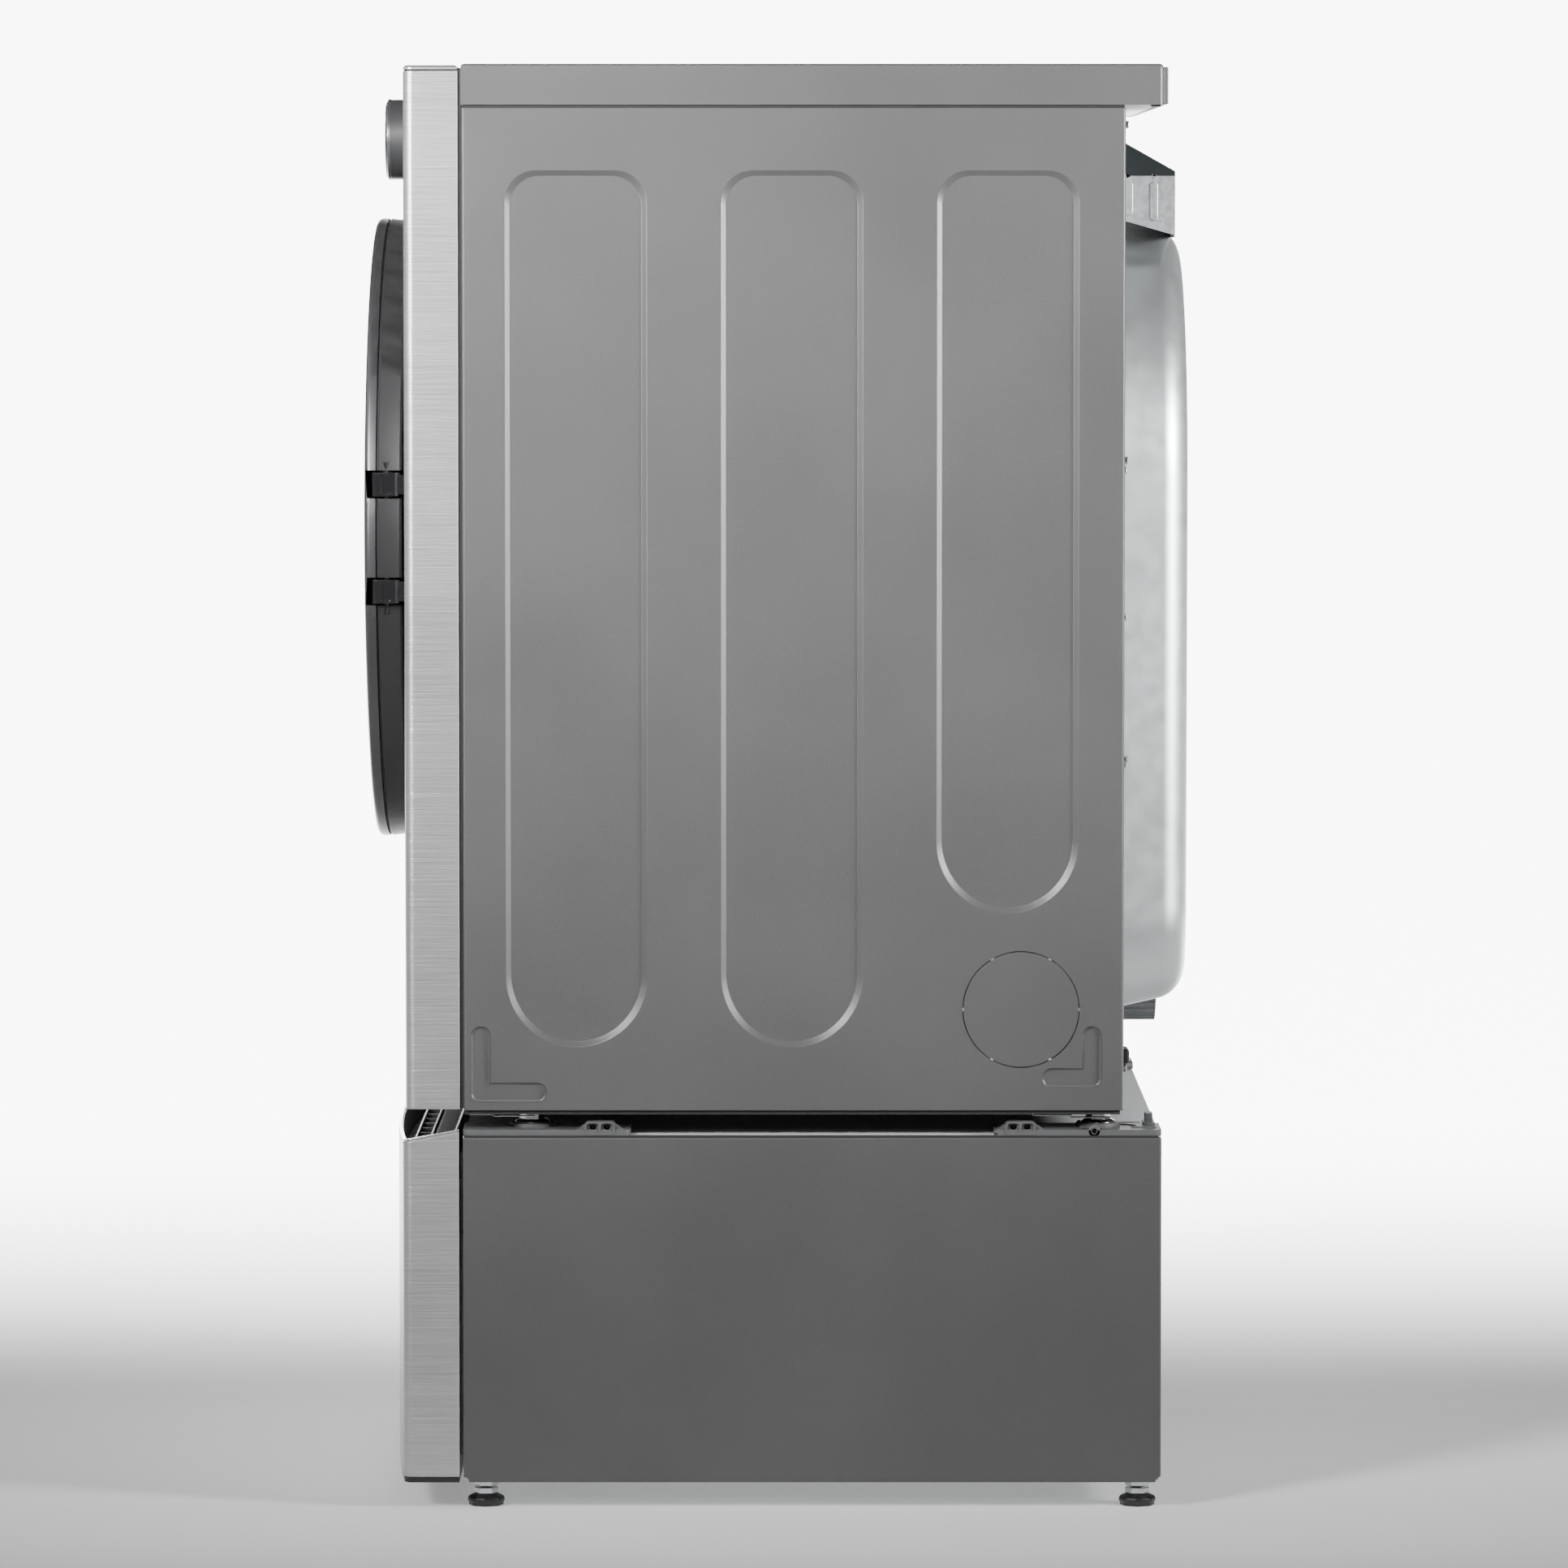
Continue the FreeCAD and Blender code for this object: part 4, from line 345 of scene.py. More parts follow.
class Bench:
    """Modelling steps, each done with Blender's own operators."""

    @staticmethod
    def take(piece: bpy.types.Object) -> None:
        """Selects one object alone and makes it active.

        Args:
            piece: the object.
        """
        bpy.ops.object.select_all(action="DESELECT")
        piece.select_set(True)
        bpy.context.view_layer.objects.active = piece

    @staticmethod
    def _named(name: str) -> bpy.types.Object:
        """Names the object just added and applies its place.

        Args:
            name: the object's name.

        Returns:
            The object.
        """
        piece = bpy.context.object
        piece.name = name
        bpy.ops.object.transform_apply(location=True, rotation=True, scale=True)
        return piece

    @staticmethod
    def slab(name: str, low: Sequence[float], high: Sequence[float]) -> bpy.types.Object:
        """A box between two corners.

        Args:
            name: the object's name.
            low: lowest corner.
            high: highest corner.

        Returns:
            The object.
        """
        bpy.ops.object.select_all(action="DESELECT")
        middle = [(a + b) / 2 for a, b in zip(low, high)]
        bpy.ops.mesh.primitive_cube_add(size=1, location=middle)
        bpy.context.object.scale = [b - a for a, b in zip(low, high)]
        return Bench._named(name)

    @staticmethod
    def turned(name: str, axis: Axis, centre: Sequence[float], profile: Profile,
               sides: int = 96) -> bpy.types.Object:
        """A turned solid, grown from a filled circle by extruding and resizing its face.

        Args:
            name: the object's name.
            axis: its axis.
            centre: the point that offsets are measured from.
            profile: (radius, offset along the axis) from one end to the other.
            sides: number of sides.

        Returns:
            The object.
        """
        bpy.ops.object.select_all(action="DESELECT")
        radius, offset = profile[0]
        bpy.ops.mesh.primitive_circle_add(vertices=sides, radius=radius, fill_type="NGON", location=(0, 0, 0))
        bpy.ops.object.mode_set(mode="EDIT")
        bpy.ops.mesh.select_mode(type="FACE")
        bpy.ops.mesh.select_all(action="SELECT")
        start = offset
        for new_radius, new_offset in profile[1:]:
            bpy.ops.mesh.extrude_region_move(TRANSFORM_OT_translate={"value": (0, 0, new_offset - offset)})
            factor = new_radius / radius
            bpy.ops.transform.resize(value=(factor, factor, 1), center_override=(0, 0, new_offset - start))
            radius, offset = new_radius, new_offset
        bpy.ops.mesh.select_all(action="SELECT")
        bpy.ops.mesh.normals_make_consistent(inside=False)
        bpy.ops.object.mode_set(mode="OBJECT")
        piece = bpy.context.object
        piece.location = (0, 0, start)
        bpy.ops.object.transform_apply(location=True, rotation=False, scale=False)
        piece.rotation_euler = axis.value
        piece.location = centre
        return Bench._named(name)

    @staticmethod
    def bar(name: str, axis: Axis, centre: Sequence[float], radius: float, start: float, end: float,
            sides: int = 64) -> bpy.types.Object:
        """A plain round bar, mostly used as a cutter."""
        return Bench.turned(name, axis, centre, [(radius, start), (radius, end)], sides)

    @staticmethod
    def round_edges(piece: bpy.types.Object, width: float, segments: int,
                    chosen: Callable[[Vector, Vector], bool]) -> bpy.types.Object:
        """Bevels the edges whose two ends pass a test.

        Args:
            piece: the object.
            width: the bevel's width.
            segments: its number of segments.
            chosen: takes an edge's two ends.

        Returns:
            The same object.
        """
        Bench.pick_edges(piece, chosen)
        bpy.ops.mesh.bevel(offset=width, segments=segments, affect="EDGES", clamp_overlap=False)
        bpy.ops.object.mode_set(mode="OBJECT")
        return piece

    @staticmethod
    def pick_edges(piece: bpy.types.Object, chosen: Callable[[Vector, Vector], bool]) -> None:
        """Goes into edit mode and selects the edges whose two ends pass a test.

        Args:
            piece: the object.
            chosen: takes an edge's two ends.
        """
        Bench.take(piece)
        bpy.ops.object.mode_set(mode="EDIT")
        bpy.ops.mesh.select_mode(type="EDGE")
        bpy.ops.mesh.select_all(action="DESELECT")
        mesh = bmesh.from_edit_mesh(piece.data)
        for edge in mesh.edges:
            edge.select_set(chosen(edge.verts[0].co, edge.verts[1].co))
        bmesh.update_edit_mesh(piece.data)

    @staticmethod
    def pick_faces(piece: bpy.types.Object, facing: Vector) -> list[Vector]:
        """Goes into edit mode and selects the faces that point one way.

        Args:
            piece: the object.
            facing: the way that they point.

        Returns:
            The places of their corners.
        """
        Bench.take(piece)
        bpy.ops.object.mode_set(mode="EDIT")
        bpy.ops.mesh.select_mode(type="FACE")
        bpy.ops.mesh.select_all(action="DESELECT")
        mesh = bmesh.from_edit_mesh(piece.data)
        picked = [face for face in mesh.faces if face.normal.dot(facing) > SAME_WAY]
        for face in picked:
            face.select_set(True)
        spots = [vert.co.copy() for face in picked for vert in face.verts]
        bmesh.update_edit_mesh(piece.data)
        return spots

    @staticmethod
    def resize_face(piece: bpy.types.Object, factors: Sequence[float], facing: Vector) -> bpy.types.Object:
        """Resizes the faces that point one way about their own middle.

        Args:
            piece: the object.
            factors: how much larger the faces become along each axis.
            facing: the way that they point.

        Returns:
            The same object.
        """
        spots = Bench.pick_faces(piece, facing)
        middle = [(min(spot[i] for spot in spots) + max(spot[i] for spot in spots)) / 2 for i in range(3)]
        bpy.ops.transform.resize(value=factors, center_override=middle)
        bpy.ops.object.mode_set(mode="OBJECT")
        return piece

    @staticmethod
    def shift(piece: bpy.types.Object, move: Callable[[Vector], None]) -> bpy.types.Object:
        """Moves every corner by a rule.

        Args:
            piece: the object.
            move: changes a corner's coordinate in place.

        Returns:
            The same object.
        """
        for vert in piece.data.vertices:
            move(vert.co)
        piece.data.update()
        return piece

    @staticmethod
    def clean(piece: bpy.types.Object) -> bpy.types.Object:
        """Merges doubled corners and dissolves the edges inside flat faces.

        Args:
            piece: the object.

        Returns:
            The same object.
        """
        Bench.take(piece)
        bpy.ops.object.mode_set(mode="EDIT")
        bpy.ops.mesh.select_all(action="SELECT")
        bpy.ops.mesh.remove_doubles(threshold=1e-6)
        bpy.ops.mesh.dissolve_limited(angle_limit=math.radians(0.5))
        bpy.ops.object.mode_set(mode="OBJECT")
        return piece

    @staticmethod
    def combine(piece: bpy.types.Object, tools: Iterable[bpy.types.Object],
                operation: str = "DIFFERENCE") -> bpy.types.Object:
        """Applies a Boolean modifier for each tool and removes the tools.

        Args:
            piece: the object that is cut or joined.
            tools: the cutters.
            operation: DIFFERENCE, UNION or INTERSECT.

        Returns:
            The same object.
        """
        for tool in tools:
            Bench.take(piece)
            modifier = piece.modifiers.new("shape", "BOOLEAN")
            modifier.operation = operation
            modifier.object = tool
            bpy.ops.object.modifier_apply(modifier=modifier.name)
            bpy.data.objects.remove(tool)
        return piece

    @staticmethod
    def soften(piece: bpy.types.Object, width: float = 0.0008, segments: int = 3,
               angle: float = 30.0) -> bpy.types.Object:
        """Rounds the sharp edges a little and shades the piece smooth.

        Args:
            piece: the object.
            width: width of the rounding; none at 0.
            segments: segments of the rounding.
            angle: edges sharper than this many degrees are rounded.

        Returns:
            The same object.
        """
        Bench.take(piece)
        if width > 0:
            modifier = piece.modifiers.new("soft edges", "BEVEL")
            modifier.width = width
            modifier.segments = segments
            modifier.limit_method = "ANGLE"
            modifier.angle_limit = math.radians(angle)
            modifier.miter_outer = "MITER_ARC"
            bpy.ops.object.modifier_apply(modifier=modifier.name)
        bpy.ops.object.shade_smooth_by_angle(angle=math.radians(angle + 20))
        weights = piece.modifiers.new("even shading", "WEIGHTED_NORMAL")
        weights.keep_sharp = True
        bpy.ops.object.modifier_apply(modifier=weights.name)
        return piece

    @staticmethod
    def copy(piece: bpy.types.Object, name: str, offset: Sequence[float] = (0, 0, 0),
             mirror: bool = False) -> bpy.types.Object:
        """Copies a piece with a mesh of its own.

        Args:
            piece: the object to copy.
            name: the copy's name.
            offset: how far the copy is moved.
            mirror: True to put it on the other side of the middle plane.

        Returns:
            The copy.
        """
        Bench.take(piece)
        bpy.ops.object.duplicate(linked=False)
        twin = bpy.context.object
        twin.location = offset
        if mirror:
            twin.scale.x = -1
        Bench._named(name)
        if mirror:
            bpy.ops.object.mode_set(mode="EDIT")
            bpy.ops.mesh.select_all(action="SELECT")
            bpy.ops.mesh.flip_normals()
            bpy.ops.object.mode_set(mode="OBJECT")
        return twin

    @staticmethod
    def join(pieces: Sequence[bpy.types.Object], name: str) -> bpy.types.Object:
        """Makes several objects into one.

        Args:
            pieces: the objects.
            name: the name of the one that is left.

        Returns:
            The one that is left.
        """
        Bench.take(pieces[0])
        for piece in pieces[1:]:
            piece.select_set(True)
        bpy.ops.object.join()
        pieces[0].name = name
        return pieces[0]


def dress(piece: bpy.types.Object, finish: Finish, body: str = "cabinet",
          nodes: Sequence[str] = ()) -> bpy.types.Object:
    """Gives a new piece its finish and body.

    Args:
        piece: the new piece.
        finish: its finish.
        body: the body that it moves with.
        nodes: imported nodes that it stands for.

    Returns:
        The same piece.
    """
    piece.data.materials.clear()
    piece.data.materials.append(Paints.get(finish))
    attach(piece, body)
    if nodes:
        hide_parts(*nodes)
    LOG.info("%s: %d faces on %s", piece.name, len(piece.data.polygons), body)
    return piece


def along(axis: int, place: float) -> Callable[[Vector, Vector], bool]:
    """A test for edges that lie wholly at one coordinate."""
    return lambda a, b: abs(a[axis] - place) < TINY and abs(b[axis] - place) < TINY


def runs(axis: int) -> Callable[[Vector, Vector], bool]:
    """A test for edges that run along one axis."""
    return lambda a, b: abs(a[axis] - b[axis]) > NEAR and (a - b).length - abs(a[axis] - b[axis]) < 1e-6


def lozenge(name: str, low: Sequence[float], high: Sequence[float], depth_axis: int,
            low_r: float, high_r: float, segments: int = 16) -> bpy.types.Object:
    """A slab with rounded corners, one radius at its foot and one at its head.

    Args:
        name: the object's name.
        low: lowest corner.
        high: highest corner.
        depth_axis: the axis that the rounded corners run along.
        low_r: radius of the two corners at the lowest z.
        high_r: radius of the two corners at the highest z.
        segments: segments of each corner.

    Returns:
        The object.
    """
    piece = Bench.slab(name, low, high)
    deep = runs(depth_axis)
    middle = (low[2] + high[2]) / 2
    Bench.round_edges(piece, low_r, segments, lambda a, b: deep(a, b) and a.z < middle)
    if high_r > 0:
        Bench.round_edges(piece, high_r, segments, lambda a, b: deep(a, b) and a.z > middle and b.z > middle
                          and abs(a.z - high[2]) < TINY)
    return piece


# ---------------------------------------------------------------- cabinet
@dataclass
class Cabinet:
    """Side panels, top cover and what closes the cabinet behind and below."""

    skin: float = 0.004
    rib_depth: float = 0.0032
    rib_slope: float = 0.0048
    rib_width: float = 0.130
    rib_pitch: float = 0.1976
    rib_first: float = 0.1049
    rib_head: float = 0.0575
    rib_foot: float = 0.0586
    short_rib_foot: float = 0.1819
    rib_head_r: float = 0.029
    hook_width: float = 0.0186
    hook_depth: float = 0.0028
    hook_slope: float = 0.0027
    seam: float = 0.0008
    groove: float = 0.0010
    groove_depth: float = 0.0026
    vent_r: float = 0.0539
    vent_from_rear: float = 0.0943
    vent_above: float = 0.0931
    vent_tabs: int = 6
    hook_rise: float = 0.0705
    hook_reach: tuple[float, float] = (0.070, 0.055)
    hook_inset: tuple[float, float] = (0.0075, 0.0198)
    hook_foot: tuple[float, float] = (0.007, 0.0205)
    cover_wall: float = 0.0015
    cover_hem: float = 0.0045
    strip_depth: float = 0.010
    pan_rolls: tuple = ((0.004, 0.026, 0.0), (0.026, 0.064, 0.0014))
    pan_rear_rolls: tuple = ((0.080, 0.044, 0.0006), (0.046, 0.008, 0.0026))
    low: Vector = field(default_factory=lambda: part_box("side_panel_right")[0])
    high: Vector = field(default_factory=lambda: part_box("side_panel_right")[1])

    def pocket(self, y0: float, y1: float, z0: float, z1: float, depth: float, slope: float,
               radii: tuple[float, float]) -> bpy.types.Object:
        """A cutter for one pressed recess in the right-hand panel.

        Args:
            y0: front edge.
            y1: rear edge.
            z0: lower edge.
            z1: upper edge.
            depth: how deep the recess is.
            slope: width of its sloping border.
            radii: corner radii at the foot and the head.

        Returns:
            The cutter.
        """
        face = self.high.x
        cutter = lozenge("pocket", (face - depth, y0, z0), (face + depth, y1, z1), 0, radii[0], radii[1], 24)
        wide = (y1 - y0, z1 - z0)
        inner = [(side - 2 * slope) / side for side in wide]
        outer = [(side + 2 * slope) / side for side in wide]
        Bench.resize_face(cutter, (1, inner[0], inner[1]), Vector((-1, 0, 0)))
        return Bench.resize_face(cutter, (1, outer[0], outer[1]), Vector((1, 0, 0)))

    def hooks(self) -> list[bpy.types.Object]:
        """Cutters for the two L-shaped recesses low on the panel, each made of two joined legs.

        Returns:
            The two cutters.
        """
        width = self.hook_width
        radius = width * 0.46
        front = self.low.y + self.hook_inset[0]
        rear = self.high.y - self.hook_inset[1]
        foot, rear_foot = (self.low.z + rise for rise in self.hook_foot)
        top = foot + self.hook_rise
        front_end, rear_end = front + self.hook_reach[0], rear - self.hook_reach[1]
        pairs = [((front, front + width, foot, top), (front, front_end, foot, foot + width)),
                 ((rear - width, rear, rear_foot, top), (rear_end, rear, rear_foot, rear_foot + width))]
        cutters = []
        face = self.high.x
        floor = face - self.hook_depth
        for upright, level in pairs:
            legs = [lozenge("leg", (floor, y0, z0), (face + self.hook_depth, y1, z1), 0, radius, radius, 10)
                    for y0, y1, z0, z1 in (upright, level)]
            cutter = Bench.clean(Bench.combine(legs[0], [legs[1]], "UNION"))
            Bench.round_edges(cutter, self.hook_slope, 2, lambda a, b: max(a.x, b.x) < floor + TINY)
            cutters.append(cutter)
        return cutters

    def vent_place(self) -> tuple[float, float, float]:
        """The middle of the side vent on the right-hand face."""
        return (self.high.x, self.high.y - self.vent_from_rear, self.low.z + self.vent_above)

    def vent_plug(self) -> bpy.types.Object:
        """Models the knock-out disc of the side vent.

        Returns:
            The disc.
        """
        centre = self.vent_place()
        disc = Bench.bar("disc", Axis.X, centre, self.vent_r - self.groove, -self.groove_depth, -0.0001, 160)
        return Bench.soften(disc, 0.0002, 2, 35)

    def vent_bridges(self) -> bpy.types.Object:
        """Models the six bridges that hold the knock-out disc, painted lighter as a painted highlight.

        Returns:
            The bridges as one object.
        """
        x, y, z = self.vent_place()
        middle_r = self.vent_r - self.groove / 2
        pieces = []
        for step in range(self.vent_tabs):
            angle = math.radians(360 / self.vent_tabs * step)
            spot = (x, y + middle_r * math.cos(angle), z + middle_r * math.sin(angle))
            bridge = Bench.turned("bridge", Axis.X, spot, [(0.0017, -self.groove_depth), (0.0017, -0.0006),
                                                           (0.0012, -0.0001), (0.0006, 0.0)], 24)
            pieces.append(Bench.soften(bridge, 0, angle=40))
        return Bench.join(pieces, "vent_bridges_right")

    def side_panels(self) -> None:
        """Models the right-hand panel and its mirror image."""
        low, high = self.low, self.high
        panel = Bench.slab("side_panel_right_skin", (low.x, low.y + self.seam, low.z),
                           (high.x, high.y, high.z - self.seam))
        outer_edge = runs(2)
        Bench.round_edges(panel, 0.0025, 4, lambda a, b: outer_edge(a, b) and a.x > high.x - NEAR)
        inner = Bench.slab("hollow", (low.x - PAST, low.y + 0.002, low.z + 0.002),
                           (high.x - self.skin, high.y - 0.002, high.z - 0.002))
        cutters = [inner]
        head = high.z - self.rib_head
        for step, foot in enumerate((self.rib_foot, self.rib_foot, self.short_rib_foot)):
            middle = low.y + self.rib_first + self.rib_pitch * step
            half = self.rib_width / 2
            cutters.append(self.pocket(middle - half, middle + half, low.z + foot, head, self.rib_depth,
                                       self.rib_slope, (half - 0.0005, self.rib_head_r)))
        Bench.combine(panel, cutters)
        Bench.soften(panel, 0.0012, 4, 14)
        vent = Bench.bar("vent", Axis.X, self.vent_place(), self.vent_r, -self.groove_depth, 0.01, 160)
        Bench.combine(panel, self.hooks() + [vent])
        Bench.soften(panel, 0, angle=14)
        twin = Bench.copy(panel, "side_panel_left_skin", mirror=True)
        dress(panel, CABINET_PAINT, nodes=["side_panel_right"])
        dress(twin, CABINET_PAINT, nodes=["side_panel_left"])
        plug = self.vent_plug()
        plug.name = "vent_plug_right"
        twin = Bench.copy(plug, "vent_plug_left", mirror=True)
        dress(plug, CABINET_PAINT, nodes=["vent_knockouts"])
        dress(twin, CABINET_PAINT)
        bridges = self.vent_bridges()
        twin = Bench.copy(bridges, "vent_bridges_left", mirror=True)
        # The bridges get the lighter paint: painted highlight.
        dress(bridges, BRIDGE_HIGHLIGHT_PAINT)
        dress(twin, BRIDGE_HIGHLIGHT_PAINT)

    def top_cover(self) -> None:
        """Models the folded top cover with its rear hem."""
        low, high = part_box("top_cover")
        wall = self.cover_wall
        body_high = Vector((high.x, high.y - self.cover_hem, high.z))
        cover = Bench.slab("top_cover_shell", (low.x, low.y + self.seam, low.z), body_high)
        corner = runs(2)
        Bench.round_edges(cover, 0.004, 4, lambda a, b: corner(a, b) and a.y > low.y + 0.01)
        Bench.round_edges(cover, 0.0035, 5, lambda a, b: a.z > high.z - TINY and b.z > high.z - TINY)
        inner = Bench.slab("hollow", (low.x + wall, low.y + wall + self.seam, low.z - PAST),
                           (high.x - wall, body_high.y - wall, high.z - wall))
        Bench.combine(cover, [inner])
        Bench.soften(cover, 0.0005, 2, 40)
        dress(cover, CABINET_PAINT, nodes=["top_cover"])
        strip = Bench.slab("top_cover_hem", (low.x + 0.002, body_high.y - 0.0005, low.z + 0.0006),
                           (high.x - 0.002, high.y, high.z - 0.003))
        dress(Bench.soften(strip, 0.0012, 3), CABINET_PAINT)
        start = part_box("rear_panel")[0].y - 0.004
        under = Bench.slab("top_cover_underside", (low.x + 0.002, start, low.z + 0.0006),
                           (high.x - 0.002, body_high.y - 0.002, low.z + 0.0018))
        dress(Bench.soften(under, 0.0003, 1), GALVANISED)
        tab = Bench.slab("top_cover_clip", (high.x - 0.03, body_high.y - 0.011, low.z - 0.0015),
                         (high.x - 0.008, body_high.y - 0.002, low.z + 0.004))
        dress(Bench.soften(tab, 0.0008), BLACK_PLASTIC)

    def seals(self) -> None:
        """Models black strips set in the seams round the side panels: painted shade in the gaps."""
        low, high = self.low, self.high
        for side in (-1, 1):
            face = side * (high.x - 0.0022)
            inner = side * (high.x - self.strip_depth)
            x0, x1 = min(face, inner), max(face, inner)
            name = "right" if side > 0 else "left"
            front = Bench.slab(f"front_seam_{name}", (x0, low.y - 0.0032, low.z + 0.002),
                               (x1, low.y + 0.0005 + self.seam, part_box("top_cover")[1].z - 0.004))
            dress(Bench.soften(front, 0.0003, 1), SHADE_BLACK)
            top = Bench.slab(f"top_seam_{name}", (x0, low.y, high.z - 0.0005 - self.seam),
                             (x1, high.y - 0.001, high.z + 0.0035))
            dress(Bench.soften(top, 0.0003, 1), SHADE_BLACK)

    def pan_edges(self) -> None:
        """Models the short rolled edges of the base pan that show below each side panel."""
        low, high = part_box("base_pan")
        spans = [(low.y + start, low.y + end, drop) for start, end, drop in self.pan_rolls]
        spans += [(high.y - start, high.y - end, drop) for start, end, drop in self.pan_rear_rolls]
        pieces = []
        for start, end, drop in spans:
            edge = Bench.slab("pan_edge", (high.x - 0.010, start, low.z - drop - 0.0012),
                              (high.x - 0.004, end, low.z - drop))
            pieces.append(Bench.soften(edge, 0.0005, 2))
        right = Bench.join(pieces, "pan_edge_right")
        left = Bench.copy(right, "pan_edge_left", mirror=True)
        dress(right, ZINC)
        dress(left, ZINC)

    def build(self) -> None:
        """Builds the cabinet's visible skin."""
        self.side_panels()
        self.top_cover()
        self.seals()
        self.pan_edges()


# ---------------------------------------------------------------- front
@dataclass
class Front:
    """The brushed front panel, its cap and the controls."""

    wall: float = 0.002
    edge_r: float = 0.009
    mouth_r: float = 0.205
    knob_r: float = 0.0386
    knob_ticks: int = 12
    tick_circle: float = 0.052
    cap_lift: float = 0.0008
    cap_r: float = 0.0034

    def wrap(self, name: str, low: Vector, high: Vector) -> bpy.types.Object:
        """A slab with the rounded vertical front edges of the machine.

        Args:
            name: the object's name.
            low: lowest corner.
            high: highest corner.

        Returns:
            The object.
        """
        piece = Bench.slab(name, low, high)
        upright = runs(2)
        return Bench.round_edges(piece, self.edge_r, 10, lambda a, b: upright(a, b) and a.y < low.y + NEAR)

    def panel(self) -> None:
        """Models the wrapped panel with its holes."""
        low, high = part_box("front_panel")
        panel = self.wrap("front_panel_shell", low, high)
        wall = self.wall
        hollow = self.wrap("hollow", Vector((low.x + wall, low.y + wall, low.z + wall)),
                           Vector((high.x - wall, high.y + 0.02, high.z - wall)))
        door_low, door_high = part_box("door_rear_ring")
        middle = (0.0, low.y, (door_low.z + door_high.z) / 2)
        cutters = [hollow, Bench.bar("mouth", Axis.Y, middle, self.mouth_r, -PAST, PAST, 128)]
        lens_low, lens_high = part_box("display_window")
        cutters.append(Bench.slab("lens", (lens_low.x, low.y - PAST, lens_low.z),
                                  (lens_high.x, low.y + PAST, lens_high.z)))
        for node in ("power_button", "start_button"):
            a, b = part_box(node)
            spot = ((a.x + b.x) / 2, low.y, (a.z + b.z) / 2)
            cutters.append(Bench.bar("hole", Axis.Y, spot, (b.x - a.x) / 2 + 0.0003, -PAST, PAST, 64))
        latch_low, latch_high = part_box("door_latch")
        x = (latch_low.x + latch_high.x) / 2
        cutters.append(Bench.slab("slot", (x - 0.008, low.y - PAST, middle[2] - 0.011),
                                  (x + 0.008, low.y + PAST, middle[2] + 0.011)))
        Bench.combine(panel, cutters)
        dress(Bench.soften(panel, 0.0007, 3, 35), FRONT_STEEL, nodes=["front_panel"])

    def cap(self) -> None:
        """Models the narrow cap above the panel."""
        low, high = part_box("front_top_cap")
        panel_low, panel_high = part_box("front_panel")
        cap = self.wrap("front_cap_strip", Vector((panel_low.x, panel_low.y, low.z + self.cap_lift)),
                        Vector((panel_high.x, high.y, high.z)))
        Bench.round_edges(cap, self.cap_r, 6, lambda a, b: min(a.z, b.z) > high.z - TINY)
        dress(Bench.soften(cap, 0.0003, 2, 35), CAP_SILVER, nodes=["front_top_cap"])
        # A black slab fills the gap below the cap: painted shade in the seam.
        gap = 0.001
        seam = self.wrap("front_cap_seam", Vector((panel_low.x + gap, panel_low.y + gap, panel_high.z - gap)),
                         Vector((panel_high.x - gap, high.y - gap, low.z + self.cap_lift + gap)))
        dress(Bench.soften(seam, 0), SHADE_BLACK)

    def knob(self) -> None:
        """Models the ringed selector knob and the ticks round it."""
        low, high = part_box("selector_knob")
        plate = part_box("front_panel")[0].y
        radius = self.knob_r
        front = low.y + 0.0008
        centre = (0.0, front, (low.z + high.z) / 2)
        long = plate - 0.0012 - front
        body = Bench.turned("knob_body", Axis.Y, centre, [
            (radius * 0.52, 0.0030), (radius * 0.60, 0.0012), (radius * 0.86, 0.0010),
            (radius * 0.93, 0.0014), (radius * 0.985, 0.0034), (radius * 0.985, long * 0.80),
            (radius * 0.93, long * 0.80), (radius * 0.93, long * 0.84), (radius * 0.98, long * 0.84),
            (radius * 0.98, long), (radius * 0.3, long)], 128)
        dress(Bench.soften(body, 0.0005, 2, 35), KNOB_GREY, "selector_knob", ["selector_knob"])
        for index, (start, end) in enumerate(((0.0028, 0.0060), (long * 0.85, long - 0.0006))):
            profile = [(radius - 0.0006, start), (radius, start + 0.0006),
                       (radius, end - 0.0006), (radius - 0.0006, end)]
            ring = Bench.turned(f"knob_ring_{index}", Axis.Y, centre, profile, 128)
            core = Bench.bar("core", Axis.Y, centre, radius - 0.0018, start - PAST, end + PAST, 128)
            Bench.combine(ring, [core])
            dress(Bench.soften(ring, 0.0002, 1, 35), KNOB_RING, "selector_knob")
        pointer = Bench.slab("knob_pointer", (-0.0012, front - 0.0004, centre[2] + 0.021),
                             (0.0012, front + 0.0025, centre[2] + 0.0335))
        dress(Bench.soften(pointer, 0.0004), MARK, "selector_knob")
        ticks = []
        for step in range(self.knob_ticks):
            angle = 2 * math.pi * step / self.knob_ticks
            away = self.tick_circle
            spot = (away * math.sin(angle), plate, centre[2] + away * math.cos(angle))
            profile = [(0.0010, -0.0003), (0.0012, -0.0001), (0.0012, 0.0004)]
            ticks.append(Bench.turned(f"tick_{step}", Axis.Y, spot, profile, 16))
        dress(Bench.join(ticks, "knob_ticks"), MARK)

